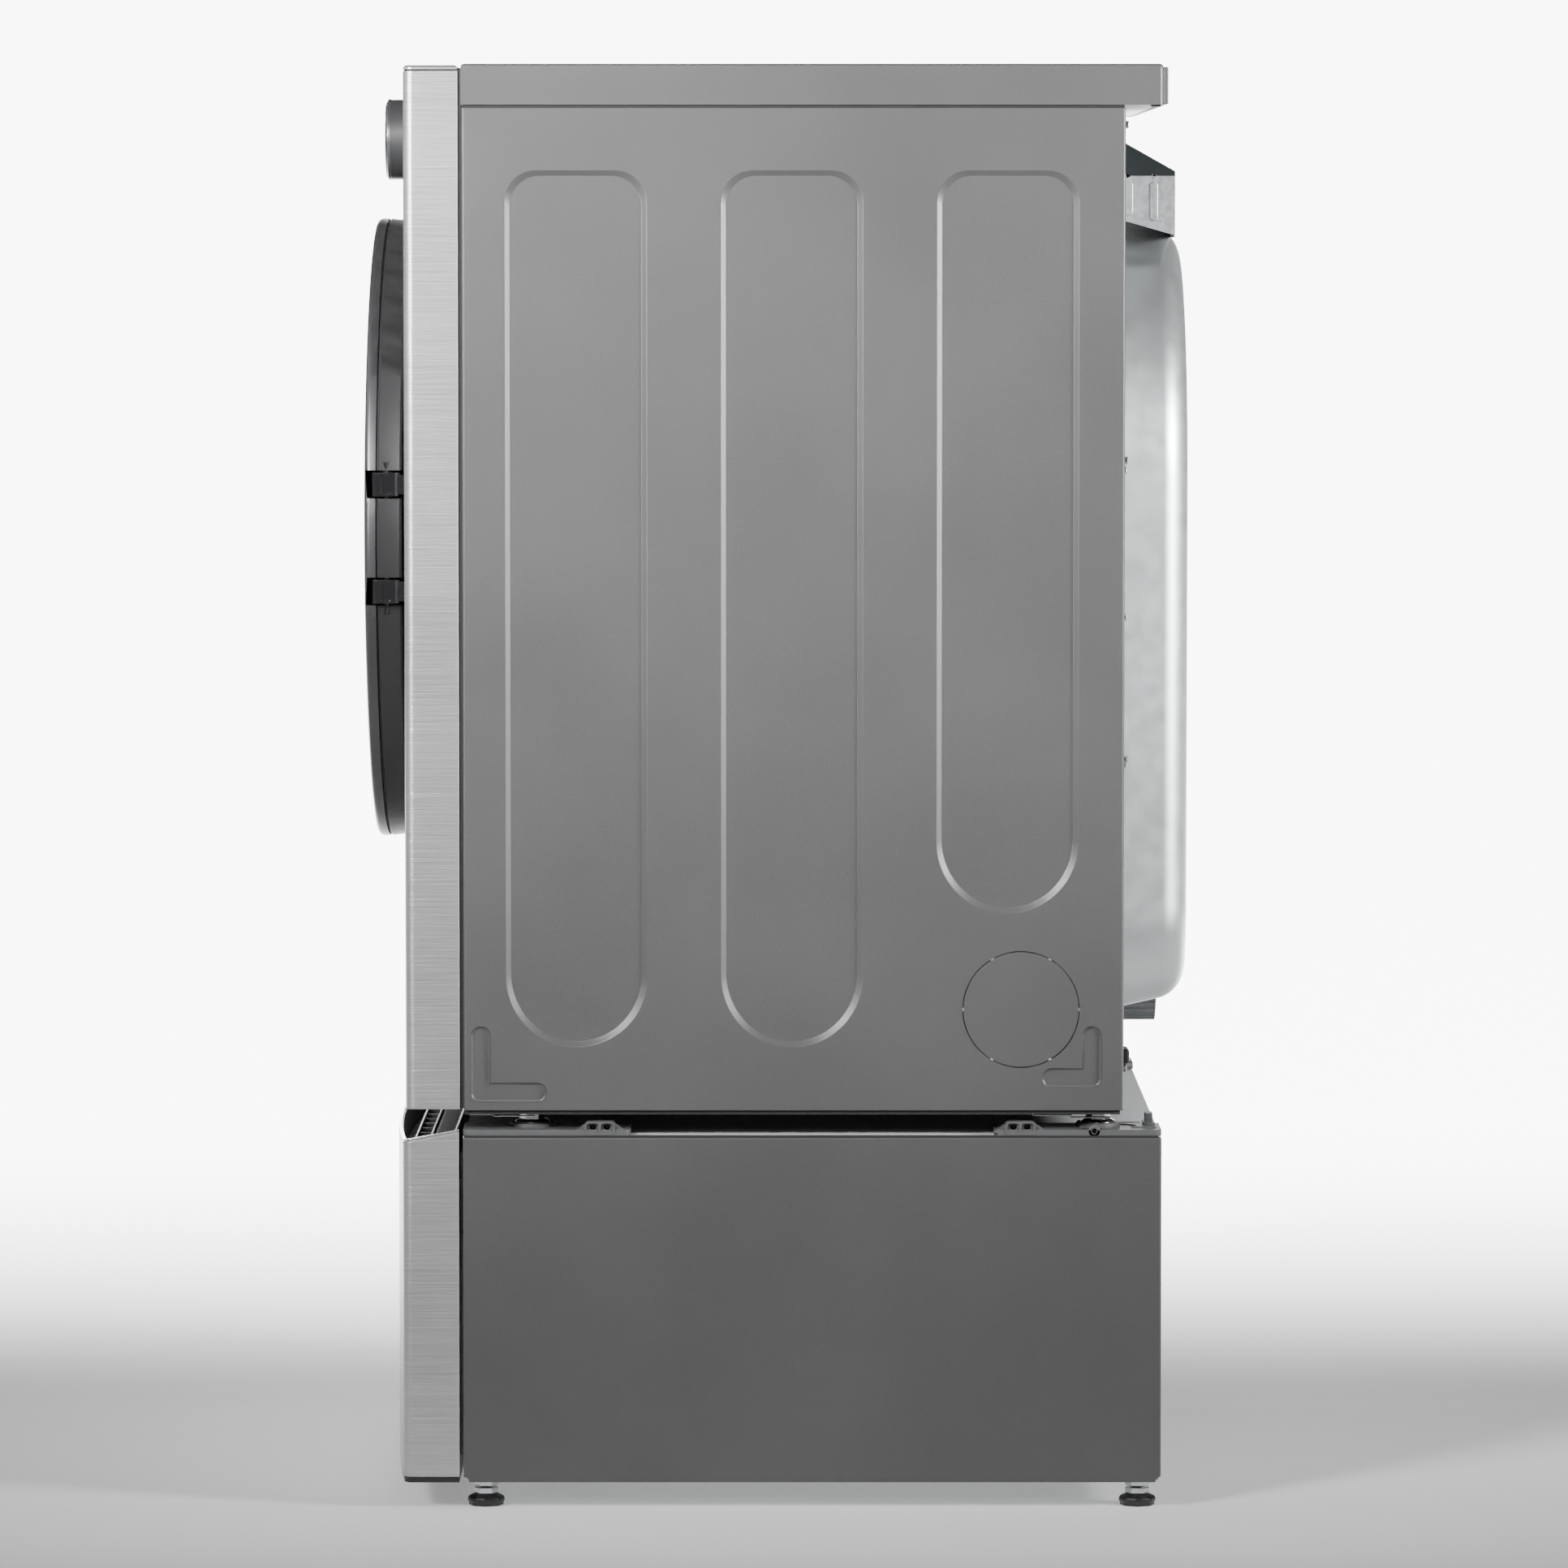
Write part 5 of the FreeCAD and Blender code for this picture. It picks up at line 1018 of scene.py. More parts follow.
    def buttons(self) -> None:
        """Models the two dished push buttons with their rings."""
        for node in ("power_button", "start_button"):
            low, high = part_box(node)
            centre = ((low.x + high.x) / 2, low.y, (low.z + high.z) / 2)
            radius = (high.x - low.x) / 2
            cap = Bench.turned(f"{node}_cap", Axis.Y, centre, [
                (radius * 0.2, 0.0014), (radius * 0.55, 0.0011), (radius * 0.80, 0.0004),
                (radius * 0.90, 0.0), (radius * 0.97, 0.0005), (radius, 0.0016), (radius, 0.007),
                (radius * 0.3, 0.0075), (radius * 0.3, 0.016)], 96)
            dress(Bench.soften(cap, 0, angle=30), KNOB_GREY, node, [node])
            profile = [(0.0012, 0.0009), (0.0014, 0.0012), (0.0014, 0.003)]
            light = Bench.turned(f"{node}_light", Axis.Y, centre, profile, 24)
            dress(Bench.soften(light, 0), MARK, node)

    def build(self) -> None:
        """Builds the front of the machine."""
        self.panel()
        self.cap()
        self.knob()
        self.buttons()


# ---------------------------------------------------------------- door
@dataclass
class Door:
    """The round door and its hinge."""

    radius: float = 0.2947
    window_r: float = 0.205
    liner_r: float = 0.190
    hinge_half: float = 0.0125
    hinge_tall: float = 0.01085
    hinge_spread: float = 0.04935
    hinge_drop: float = 0.0003
    pin_r: float = 0.003
    notch_r: float = 0.0188
    notch_half: float = 0.0129

    def __post_init__(self) -> None:
        """Reads the door's place from the frame."""
        low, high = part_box("door_rear_ring")
        self.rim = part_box("door_front_ring")[0].y
        self.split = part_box("door_front_ring")[1].y
        self.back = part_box("front_panel")[0].y - 0.0045
        self.centre = (0.0, 0.0, (low.z + high.z) / 2)
        hinge = next(joint for joint in frame["joints"] if joint["name"] == "door_hinge")
        self.pivot = Vector(hinge["pos_m"])

    def levels(self) -> list[float]:
        """Heights of the two hinge blocks."""
        middle = self.centre[2] - self.hinge_drop
        return [middle - self.hinge_spread, middle + self.hinge_spread]

    def notches(self) -> list[bpy.types.Object]:
        """Cutters that clear the hinge blocks over the whole swing.

        Returns:
            The two cutters.
        """
        spots = [(self.pivot.x, self.pivot.y, level) for level in self.levels()]
        half = self.notch_half
        return [Bench.bar("notch", Axis.Z, spot, self.notch_r, -half, half, 48) for spot in spots]

    def rings(self) -> None:
        """Models the front ring, the band behind it and a black ring in the groove between, as painted shade in the
        gap.
        """
        radius = self.radius
        front = Bench.turned("door_ring", Axis.Y, self.centre, [
            (self.window_r - 0.004, self.split - 0.0005), (radius - 0.0015, self.split - 0.0005),
            (radius, self.split - 0.0015), (radius, self.rim + 0.0050), (radius - 0.0010, self.rim + 0.0022),
            (radius - 0.0032, self.rim + 0.0006), (radius - 0.0075, self.rim),
            (self.window_r + 0.028, self.rim), (self.window_r + 0.008, self.rim + 0.0016),
            (self.window_r, self.rim + 0.0034)], 192)
        Bench.combine(front, [Bench.bar("window", Axis.Y, self.centre, self.window_r, -0.5, 0.0, 192)])
        Bench.combine(front, self.notches())
        dress(Bench.soften(front, 0.0004, 2, 40), DOOR_GRAPHITE, "door", ["door_front_ring"])
        start = self.split + 0.0006
        band = Bench.turned("door_band", Axis.Y, self.centre, [
            (self.liner_r, start), (radius - 0.0012, start), (radius - 0.0002, start + 0.0010),
            (radius - 0.0022, self.back - 0.0020), (radius - 0.0045, self.back),
            (self.liner_r, self.back)], 192)
        Bench.combine(band, [Bench.bar("liner", Axis.Y, self.centre, self.liner_r, -0.5, 0.0, 192)])
        Bench.combine(band, self.notches())
        dress(Bench.soften(band, 0.0004, 2, 40), DOOR_BAND, "door", ["door_rear_ring"])
        # A black ring set in the groove between the front ring and the band: painted shade.
        core = Bench.turned("door_groove", Axis.Y, self.centre, [
            (self.window_r, self.split - 0.002), (radius - 0.0020, self.split - 0.002),
            (radius - 0.0020, start + 0.002), (self.window_r, start + 0.002)], 192)
        Bench.combine(core, [Bench.bar("window", Axis.Y, self.centre, self.window_r - 0.002, -0.5, 0.0, 96)])
        Bench.combine(core, self.notches())
        dress(Bench.soften(core, 0), SHADE_BLACK, "door")

    def striker(self) -> None:
        """Models the latch striker on the back of the door."""
        low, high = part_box("door_latch")
        x = (low.x + high.x) / 2
        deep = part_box("door_rear_ring")[1].y
        z = self.centre[2]
        tongue = Bench.slab("door_striker", (x - 0.003, self.back - 0.002, z - 0.007),
                            (x + 0.003, deep, z + 0.007))
        eye = Bench.bar("eye", Axis.X, (x, deep - 0.007, z), 0.0032, -PAST, PAST, 32)
        Bench.combine(tongue, [eye])
        dress(Bench.soften(tongue, 0.0006), ZINC, "door")

    def window(self) -> None:
        """Models the domed tinted window."""
        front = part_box("door_glass")[0].y
        rim = self.window_r - 0.0003
        rise = self.rim - front
        ball = (rim * rim + rise * rise) / (2 * rise)
        rings = [rim * share for share in (0.04, 0.15, 0.3, 0.45, 0.6, 0.72, 0.83, 0.92, 1.0)]
        outer = [(r, front + ball - math.sqrt(ball * ball - r * r)) for r in rings]
        inner = [(r, y + 0.004) for r, y in reversed(outer)]
        glass = Bench.turned("door_window", Axis.Y, self.centre, outer + inner, 128)
        dress(Bench.soften(glass, 0, angle=30), TINTED_GLASS, "door", ["door_glass"])

    def hinge(self) -> None:
        """Models the two faceted hinge blocks, their arms and their pins."""
        half, tall = self.hinge_half, self.hinge_tall
        x, y = self.pivot.x, self.pivot.y
        plate_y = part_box("front_panel")[0].y
        upright = runs(2)
        blocks = []
        for level in self.levels():
            low, high = level - tall, level + tall
            knuckle = Bench.slab("knuckle", (x - half, y - half, low), (x + half, y + half, high))
            Bench.round_edges(knuckle, 0.0042, 3, lambda a, b: upright(a, b))
            relief = Bench.slab("relief", (x + half - 0.0015, y - 0.0035, low + 0.0022),
                                (x + half + PAST, y + 0.0035, high - 0.0022))
            arm = Bench.slab("arm", (x - 0.005, y, low + 0.002), (x + 0.009, plate_y, high - 0.002))
            Bench.combine(knuckle, [relief])
            Bench.combine(knuckle, [arm], "UNION")
            blocks.append(Bench.soften(knuckle, 0.0006, 2))
            pin = Bench.bar("pin", Axis.Z, (x, y, level), self.pin_r, -tall - 0.010, tall + 0.010, 32)
            blocks.append(Bench.soften(pin, 0.0004))
        dress(Bench.join(blocks, "door_hinge_blocks"), GLOSS_BLACK, nodes=["door_hinge_bracket"])

    def build(self) -> None:
        """Builds the door."""
        self.rings()
        self.striker()
        self.window()
        self.hinge()


# ---------------------------------------------------------------- rear
@dataclass
class Rear:
    """The bulged duct cover, the hood, the exhaust stub and the screws behind."""

    head_r: float = 0.235
    foot_r: float = 0.090
    draft: float = 0.013
    shoulder: float = 0.024
    rim: float = 0.009
    notch_r: float = 0.060
    roof_drop: float = 0.031
    hip: float = 0.012
    foot_rise: float = 0.0155
    fold_above: float = 0.0555
    hood_wall: float = 0.0012
    bead_places: tuple = ((0.0112, 0.0370), (0.0346, 0.0420))
    notch_places: tuple[float, float] = (0.0098, 0.0343)
    weld_count: int = 14
    weld_pitch: float = 0.0036
    duct_wall: float = 0.0012
    duct_rings: int = 14
    crimp_length: float = 0.038
    crimp_depth: float = 0.040
    crimp_flutes: int = 36
    screw_rows: tuple = (0.32, 0.5, 0.68)
    edge_rows: tuple = (0.04, 0.35, 0.65, 0.985)

    def dome(self) -> None:
        """Models the drawn cover and its flat rim."""
        low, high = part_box("rear_duct_cover")
        low = low + Vector((self.rim, 0, self.rim))
        high = high - Vector((self.rim, 0, self.rim))
        cover = lozenge("duct_cover_dome", low, high, 1, self.foot_r, self.head_r, 24)
        wide, tall = high.x - low.x, high.z - low.z
        factors = ((wide - 2 * self.draft) / wide, 1, (tall - 2 * self.draft) / tall)
        Bench.resize_face(cover, factors, Vector((0, 1, 0)))
        Bench.round_edges(cover, self.shoulder, 10, along(1, high.y))
        Bench.combine(cover, self.duct_notch(low, high))
        dress(Bench.soften(cover, 0.0025, 4, 40), DOME_ZINC, nodes=["rear_duct_cover"])
        edge = lozenge("duct_cover_rim", low - Vector((self.rim, 0, self.rim)),
                       Vector((high.x + self.rim, low.y + 0.0014, high.z + self.rim)), 1,
                       self.foot_r + self.rim, self.head_r + self.rim, 24)
        Bench.combine(edge, self.duct_notch(low, high))
        dress(Bench.soften(edge, 0.0004, 2, 35), GALVANISED)

    def duct_notch(self, low: Vector, high: Vector) -> list[bpy.types.Object]:
        """Cutters that let the exhaust duct out of the cover's lower edge.

        Args:
            low: lowest corner of the cover.
            high: its highest corner.

        Returns:
            A round cutter and a straight one below it.
        """
        duct_low, duct_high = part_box("exhaust_duct")
        z = (duct_low.z + duct_high.z) / 2
        start, end, radius = low.y - PAST, high.y + PAST, self.notch_r
        return [Bench.bar("notch", Axis.Y, (0.0, 0.0, z), radius, start, end, 64),
                Bench.slab("below", (-radius, start, low.z - 0.03), (radius, end, z))]

    def screws(self) -> None:
        """Models hex-head screws along the rim and the cabinet's rear edges."""
        low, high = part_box("rear_duct_cover")
        panel_low, panel_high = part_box("rear_panel")
        face = low.y + 0.0014
        spots = []
        for share in self.screw_rows:
            z = low.z + (high.z - low.z) * share
            spots += [(low.x + 0.0055, face - 0.0010, z), (high.x - 0.0055, face - 0.0010, z)]
        for x in (-0.16, 0.16):
            spots.append((x, face, low.z + 0.0055))
        for share in self.edge_rows:
            z = panel_low.z + (panel_high.z - panel_low.z) * share
            spots += [(side * (panel_high.x - 0.006), panel_high.y + 0.0002, z) for side in (-1, 1)]
        first = self.screw((0, 0, 0))
        screws = [Bench.copy(first, f"rear_screw_{index}", spot) for index, spot in enumerate(spots)]
        bpy.data.objects.remove(first)
        dress(Bench.join(screws, "rear_screws"), ZINC)

    @staticmethod
    def screw(spot: Sequence[float]) -> bpy.types.Object:
        """A washer-faced hex screw head that points backwards.

        Args:
            spot: its place.

        Returns:
            The screw head.
        """
        flange = [(0.0050, -0.0005), (0.0050, 0.0006), (0.0044, 0.0011)]
        crown = [(0.0036, 0.0), (0.0036, 0.0036), (0.0030, 0.0043), (0.0012, 0.0043)]
        washer = Bench.turned("screw_washer", Axis.Y, spot, flange, 32)
        head = Bench.turned("screw_head", Axis.Y, spot, crown, 6)
        return Bench.join([Bench.soften(washer, 0.0002, 1), Bench.soften(head, 0.0003, 2)], "screw")

    def hood_shell(self, low: Vector, high: Vector, fold: float) -> bpy.types.Object:
        """A block with the hood's sloping foot, hipped sides and falling roof.

        Args:
            low: its lowest corner.
            high: its highest corner.
            fold: height of the fold between the sides and the roof.

        Returns:
            The object.
        """
        block = Bench.slab("hood_block", low, (high.x, high.y, fold))
        Bench.pick_faces(block, Vector((0, 0, 1)))
        bpy.ops.mesh.extrude_region_move(TRANSFORM_OT_translate={"value": (0, 0, high.z - fold)})
        bpy.ops.object.mode_set(mode="OBJECT")

        def shape(co: Vector) -> None:
            """Moves a corner to the folded shape.

            Args:
                co: the corner's place.
            """
            back = (co.y - low.y) / (high.y - low.y)
            if co.z > fold + NEAR:
                co.z = high.z - self.roof_drop * back
                co.x -= math.copysign(self.hip * (1 - back), co.x)
            elif co.z < fold - NEAR:
                co.z += self.foot_rise * (1 - back)
        return Bench.shift(block, shape)

    def hood(self) -> None:
        """Models the folded hood: ribbed sides, a hipped roof with painted shade on its upward faces, and a rear
        flange.
        """
        low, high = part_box("rear_hood")
        fold = low.z + self.fold_above
        wall = self.hood_wall
        inner_low = Vector((low.x + wall, low.y - PAST, low.z - 0.03))
        inner_high = Vector((high.x - wall, high.y - wall, high.z - 0.0015))
        shell = self.hood_shell(low, high, fold)
        Bench.combine(shell, [self.hood_shell(inner_low, inner_high, fold - 0.001)])
        spots = [(side * high.x, low.y + back, fold) for side in (-1, 1) for back in self.notch_places]
        Bench.combine(shell, [Bench.bar("notch", Axis.X, spot, 0.0030, -0.006, 0.006, 3) for spot in spots])
        Bench.soften(shell, 0.0005, 2, 35)
        dress(shell, GALVANISED, nodes=["rear_hood"])
        # The upward faces above the fold get a second, near-black material: painted shade on the roof.
        shell.data.materials.append(Paints.get(HOOD_ROOF_SHADE))
        for face in shell.data.polygons:
            face.material_index = 1 if face.normal.z > 0.2 and face.center.z > fold - 0.0008 else 0
        for side, name in ((1, "right"), (-1, "left")):
            dress(self.hood_beads(low, high, fold, side, name), GALVANISED)
        rim = Bench.slab("rear_hood_rim", (low.x + 0.001, high.y - wall, low.z - 0.002),
                         (high.x - 0.001, high.y, low.z + 0.010))
        dress(Bench.soften(rim, 0.0004, 2), GALVANISED)
        lip = Bench.slab("rear_hood_lip", (low.x, low.y + 0.020, fold - 0.0002),
                         (high.x, high.y - 0.001, fold + 0.0022))
        Bench.shift(lip, lambda co: setattr(co, "x", co.x * (1.0 if co.z < fold + 0.001 else 0.985)))
        dress(Bench.soften(lip, 0.0008, 3), BLACK_PLASTIC)

    def hood_beads(self, low: Vector, high: Vector, fold: float, side: int, name: str) -> bpy.types.Object:
        """Models the two raised beads and the row of spot welds on one side of the hood.

        Args:
            low: the hood's lowest corner.
            high: its highest corner.
            fold: height of the fold.
            side: 1 for the right, -1 for the left.
            name: the side's name.

        Returns:
            The object.
        """
        pieces = []
        for back, drop in self.bead_places:
            y = low.y + back
            bead = lozenge("bead", (-0.0012, y - 0.0036, fold - drop), (0.0014, y + 0.0036, fold - 0.0055), 0,
                           0.0034, 0.0034, 8)
            Bench.shift(bead, lambda co: setattr(co, "x", co.x + side * high.x))
            pieces.append(Bench.soften(bead, 0.0011, 4, 35))
        profile = [(0.0007, -0.0008), (0.0007, 0.0006), (0.0004, 0.0008)]
        for step in range(self.weld_count):
            spot = (side * (high.x - 0.0004), high.y - 0.0035, fold - 0.006 - step * self.weld_pitch)
            pieces.append(Bench.turned("weld", Axis.X, spot, profile, 10))
        return Bench.join(pieces, f"rear_hood_beads_{name}")

    def stub(self) -> None:
        """Models the crimped exhaust stub and the plain duct before it."""
        low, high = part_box("exhaust_duct")
        radius = (high.x - low.x) / 2
        centre = (0.0, 0.0, (low.z + high.z) / 2)
        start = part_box("rear_panel")[1].y
        end = high.y
        rings = self.duct_rings
        profile = [(radius, low.y), (radius, start)]
        profile += [(radius, start + (end - start) * ring / rings) for ring in range(1, rings + 1)]
        duct = Bench.turned("exhaust_stub", Axis.Y, centre, profile, 192)
        bore = Bench.bar("bore", Axis.Y, centre, radius - self.duct_wall, low.y - 0.1, end + 0.1, 192)
        Bench.combine(duct, [bore])

        def crimp(co: Vector) -> None:
            """Flutes the last stretch.

            Args:
                co: a corner's place.
            """
            share = (co.y - (end - self.crimp_length)) / self.crimp_length
            angle = math.atan2(co.z - centre[2], co.x)
            if share > 0:
                flute = 0.5 + 0.5 * math.cos(self.crimp_flutes * angle)
                squeeze = 1 - self.crimp_depth * min(1.0, share * 2.5) * flute
                co.x *= squeeze
                co.z = centre[2] + (co.z - centre[2]) * squeeze
        Bench.shift(duct, crimp)
        dress(Bench.soften(duct, 0, angle=25), STUB_ZINC, nodes=["exhaust_duct"])

    def clip(self) -> None:
        """Models the small black clip behind the cabinet."""
        low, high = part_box("terminal_clip")
        clip = Bench.slab("terminal_cover", low, high)
        Bench.round_edges(clip, 0.0035, 5, along(1, high.y))
        dress(Bench.soften(clip, 0.0006), BLACK_PLASTIC, nodes=["terminal_clip"])

    def build(self) -> None:
        """Builds what shows behind the cabinet."""
        self.dome()
        self.screws()
        self.hood()
        self.stub()
        self.clip()


# ---------------------------------------------------------------- pedestal
@dataclass
class Pedestal:
    """The drawer pedestal with its brackets and feet."""

    bow: float = 0.015
    edge_r: float = 0.009
    wall: float = 0.0018
    lip: float = 0.0045
    pocket_depth: float = 0.045
    top_slope: float = 0.009 / 0.047
    strip_wall: float = 0.0026
    recess_ribs: int = 16
    bracket_long: float = 0.154
    bracket_wide: float = 0.062
    bracket_thick: float = 0.006
    screw_reach: float = 0.0105
    screw_apart: float = 0.0064
    foot_r: float = 0.016
    stud_r: float = 0.005
    pitch: float = 0.00175

    def cabinet(self) -> None:
        """Models the wrapped pedestal body."""
        low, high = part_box("pedestal_cabinet")
        body = Bench.slab("pedestal_wrap", low, high)
        upright = runs(2)
        Bench.round_edges(body, 0.003, 4, lambda a, b: upright(a, b) and a.y > high.y - NEAR)
        Bench.round_edges(body, 0.0022, 4, lambda a, b: a.z > high.z - TINY and b.z > high.z - TINY)
        wall = self.wall
        inner = Bench.slab("hollow", (low.x + wall, low.y - PAST, low.z - PAST),
                           (high.x - wall, high.y - wall, high.z + PAST))
        notches = [Bench.bar("notch", Axis.X, (0, y, low.z), 0.005, -0.4, 0.4, 32) for y in (low.y, high.y)]
        Bench.combine(body, [inner] + notches)
        # The darker copy of the cabinet paint: painted shade on the pedestal.
        dress(Bench.soften(body, 0.0006, 2, 40), PEDESTAL_SHADED_PAINT, nodes=["pedestal_cabinet"])

    def bowed(self, name: str, z0: float, z1: float, inset: float) -> bpy.types.Object:
        """A bar with the drawer front's bowed plan.

        Args:
            name: the object's name.
            z0: its lower face.
            z1: its upper face.
            inset: how far it stays inside the outer plan.

        Returns:
            The object.
        """
        low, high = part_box("drawer_front")
        y0 = low.y + self.bow + inset
        piece = Bench.slab(name, (low.x + inset, y0, z0), (high.x - inset, high.y, z1))
        upright = runs(2)
        radius = self.edge_r - min(inset, 0.006)
        Bench.round_edges(piece, radius, 8, lambda a, b: upright(a, b) and a.y < y0 + NEAR)
        level = runs(0)
        Bench.pick_edges(piece, lambda a, b: level(a, b) and abs(a.x - b.x) > 0.5)
        bpy.ops.mesh.subdivide(number_cuts=31)
        bpy.ops.object.mode_set(mode="OBJECT")
        half = high.x - self.edge_r

        def push(co: Vector) -> None:
            """Bows the front face."""
            if co.y < high.y - 0.02 and abs(co.x) < half:
                co.y -= self.bow * (1 - (co.x / half) ** 2)
        return Bench.shift(piece, push)

    def over_slope(self, lift: float) -> bpy.types.Object:
        """A cutter that takes away what lies above the drawer's sloping top.

        Args:
            lift: height of the slope above the drawer front's own top.

        Returns:
            The cutter.
        """
        low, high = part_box("drawer_trim")
        rear_z = high.z + lift
        cutter = Bench.slab("slope", (low.x - PAST, low.y - 0.02, rear_z),
                            (high.x + PAST, high.y + 0.02, rear_z + 0.08))

        def tilt(co: Vector) -> None:
            """Tilts the cutter's underside."""
            co.z += self.top_slope * (co.y - high.y)
        return Bench.shift(cutter, tilt)

    def drawer_front(self) -> None:
        """Models the bowed front: steel skin, bright top strip, finger recess darkened with painted shade, and kick
        strip.
        """
        low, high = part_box("drawer_front")
        trim_low, trim_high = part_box("drawer_trim")
        kick_low, kick_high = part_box("drawer_kick")

        def lengthen(co: Vector) -> None:
            """Moves a cutter's rear end past the drawer front's back."""
            co.y += 0.02 if co.y > high.y - NEAR else 0.0
        skin = self.bowed("drawer_skin", low.z, trim_high.z + 0.03, 0.0)
        Bench.combine(skin, [self.over_slope(-self.strip_wall)])
        pocket = self.bowed("pocket", high.z - self.pocket_depth, high.z + 0.05, self.lip)
        Bench.combine(skin, [Bench.shift(pocket, lengthen)])
        dress(Bench.soften(skin, 0.0008, 3, 35), FRONT_STEEL, "drawer", ["drawer_front"])
        strip = self.bowed("drawer_top_strip", trim_low.z - 0.002, trim_high.z + 0.03, 0.0004)
        Bench.combine(strip, [self.over_slope(0.0)])
        below = self.over_slope(-self.strip_wall)
        Bench.combine(strip, [below], "INTERSECT")
        hole = self.bowed("hole", low.z, high.z + 0.05, self.lip - 0.0010)
        Bench.combine(strip, [Bench.shift(hole, lengthen)])
        dress(Bench.soften(strip, 0.0007, 3, 35), TRIM_BRIGHT, "drawer", ["drawer_trim"])
        kick = self.bowed("drawer_kick_strip", kick_low.z, kick_high.z, 0.0005)
        dress(Bench.soften(kick, 0.001, 3, 35), BLACK_PLASTIC, "drawer", ["drawer_kick"])
        self.recess(low, high)

    def recess(self, low: Vector, high: Vector) -> None:
        """Models the finger recess behind the drawer's lip: its floor and back panel are black plastic, kept
        near-black and matt as painted shade.

        Args:
            low: lowest corner of the drawer front.
            high: its highest corner.
        """
        floor = high.z - self.pocket_depth
        end = high.x - self.lip
        front = low.y + self.bow + self.lip
        # Floor and back panel of the recess: black plastic made darker and matt as painted shade in the recess.
        tray = self.bowed("drawer_recess", floor - 0.002, floor + 0.004, self.lip + 0.0004)
        dress(Bench.soften(tray, 0.001, 2), SHADE_BLACK, "drawer")
        panel = Bench.slab("drawer_recess_panel", (-end + 0.004, front + 0.021, high.z - 0.026),
                           (end - 0.004, high.y - 0.008, high.z - 0.011))
        Bench.round_edges(panel, 0.004, 5, lambda a, b: a.z > high.z - 0.012 and b.z > high.z - 0.012)
        dress(Bench.soften(panel, 0.0004, 2), SHADE_BLACK, "drawer")
        back = Bench.slab("drawer_back_strip", (-end, high.y - 0.0045, floor),
                          (end, high.y - 0.0030, high.z - 0.0012))
        dress(Bench.soften(back, 0.0004, 2), ZINC, "drawer")
        rails = []
        for y, top in ((front + 0.004, high.z - 0.0125), (front + 0.018, high.z - 0.0115)):
            rail = Bench.slab("rail", (-end + 0.004, y, floor), (end - 0.004, y + 0.0016, top))
            rails.append(Bench.soften(rail, 0.0004, 2))
        for step in range(self.recess_ribs + 1):
            x = -end + 0.010 + (2 * end - 0.020) * step / self.recess_ribs
            rib = Bench.slab("rib", (x - 0.0008, front + 0.005, floor),
                             (x + 0.0008, front + 0.0185, high.z - 0.0150))
            rails.append(Bench.soften(rib, 0.0003, 2))
        dress(Bench.join(rails, "drawer_recess_ribs"), DIM_STEEL, "drawer")

    def bracket(self, front: bool) -> list[bpy.types.Object]:
        """Pieces of one right-hand stacking bracket.

        Args:
            front: True for the front bracket.

        Returns:
            Its pieces.
        """
        low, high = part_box("pedestal_brackets")
        screw_low, screw_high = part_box("bracket_screws")
        thick = self.bracket_thick
        face = high.x
        y0, y1 = (low.y, low.y + self.bracket_long) if front else (high.y - self.bracket_long, high.y)
        rail = Bench.slab("rail", (face - self.bracket_wide, y0, low.z), (face, y1, low.z + thick))
        corner = runs(2)
        Bench.round_edges(rail, 0.006, 5, lambda a, b: corner(a, b) and a.x > face - NEAR)
        boss_y = screw_low.y + self.screw_reach if front else screw_high.y - self.screw_reach
        top = low.z + thick + 0.0075
        boss = lozenge("boss", (face - 0.016, boss_y - 0.0140, low.z + 0.001),
                       (face + 0.0008, boss_y + 0.0140, top), 0, 0.0030, 0.0045, 6)
        wing = Bench.slab("wing", (face - 0.010, boss_y - 0.026, low.z + 0.003),
                          (face - 0.0004, boss_y + 0.026, top - 0.0008))
        hollow = Bench.slab("hollow", (face - 0.0024, boss_y - 0.0235, low.z + 0.0058),
                            (face + PAST, boss_y + 0.0235, top - 0.0022))
        for piece, share in ((wing, 0.45), (hollow, 0.58)):

            def slant(co: Vector) -> None:
                """Draws the upper corners in, so that the ends slant down to the rail."""
                if co.z > low.z + thick:
                    co.y = boss_y + (co.y - boss_y) * share
            Bench.shift(piece, slant)
        Bench.combine(wing, [hollow])
        Bench.combine(boss, [wing], "UNION")
        windows = []
        slots = []
        for side in (-1, 1):
            y = boss_y + side * 0.0066
            windows.append(lozenge("window", (face - 0.0028, y - 0.0057, low.z + 0.0030),
                                   (face + PAST, y + 0.0057, top - 0.0015), 0, 0.0020, 0.0032, 5))
            y = boss_y + side * self.screw_apart
            slots.append(lozenge("slot", (face - 0.012, y - 0.0031, low.z + 0.0060),
                                 (face + PAST, y + 0.0031, low.z + 0.0104), 0, 0.0021, 0.0021, 6))
        Bench.combine(boss, windows + slots)
        pieces = [rail, boss] if front else [rail, boss] + self.rear_extras(rail, Vector((face, y1, low.z)), high.z)
        return [Bench.soften(piece, 0.0006, 2, 35) for piece in pieces]

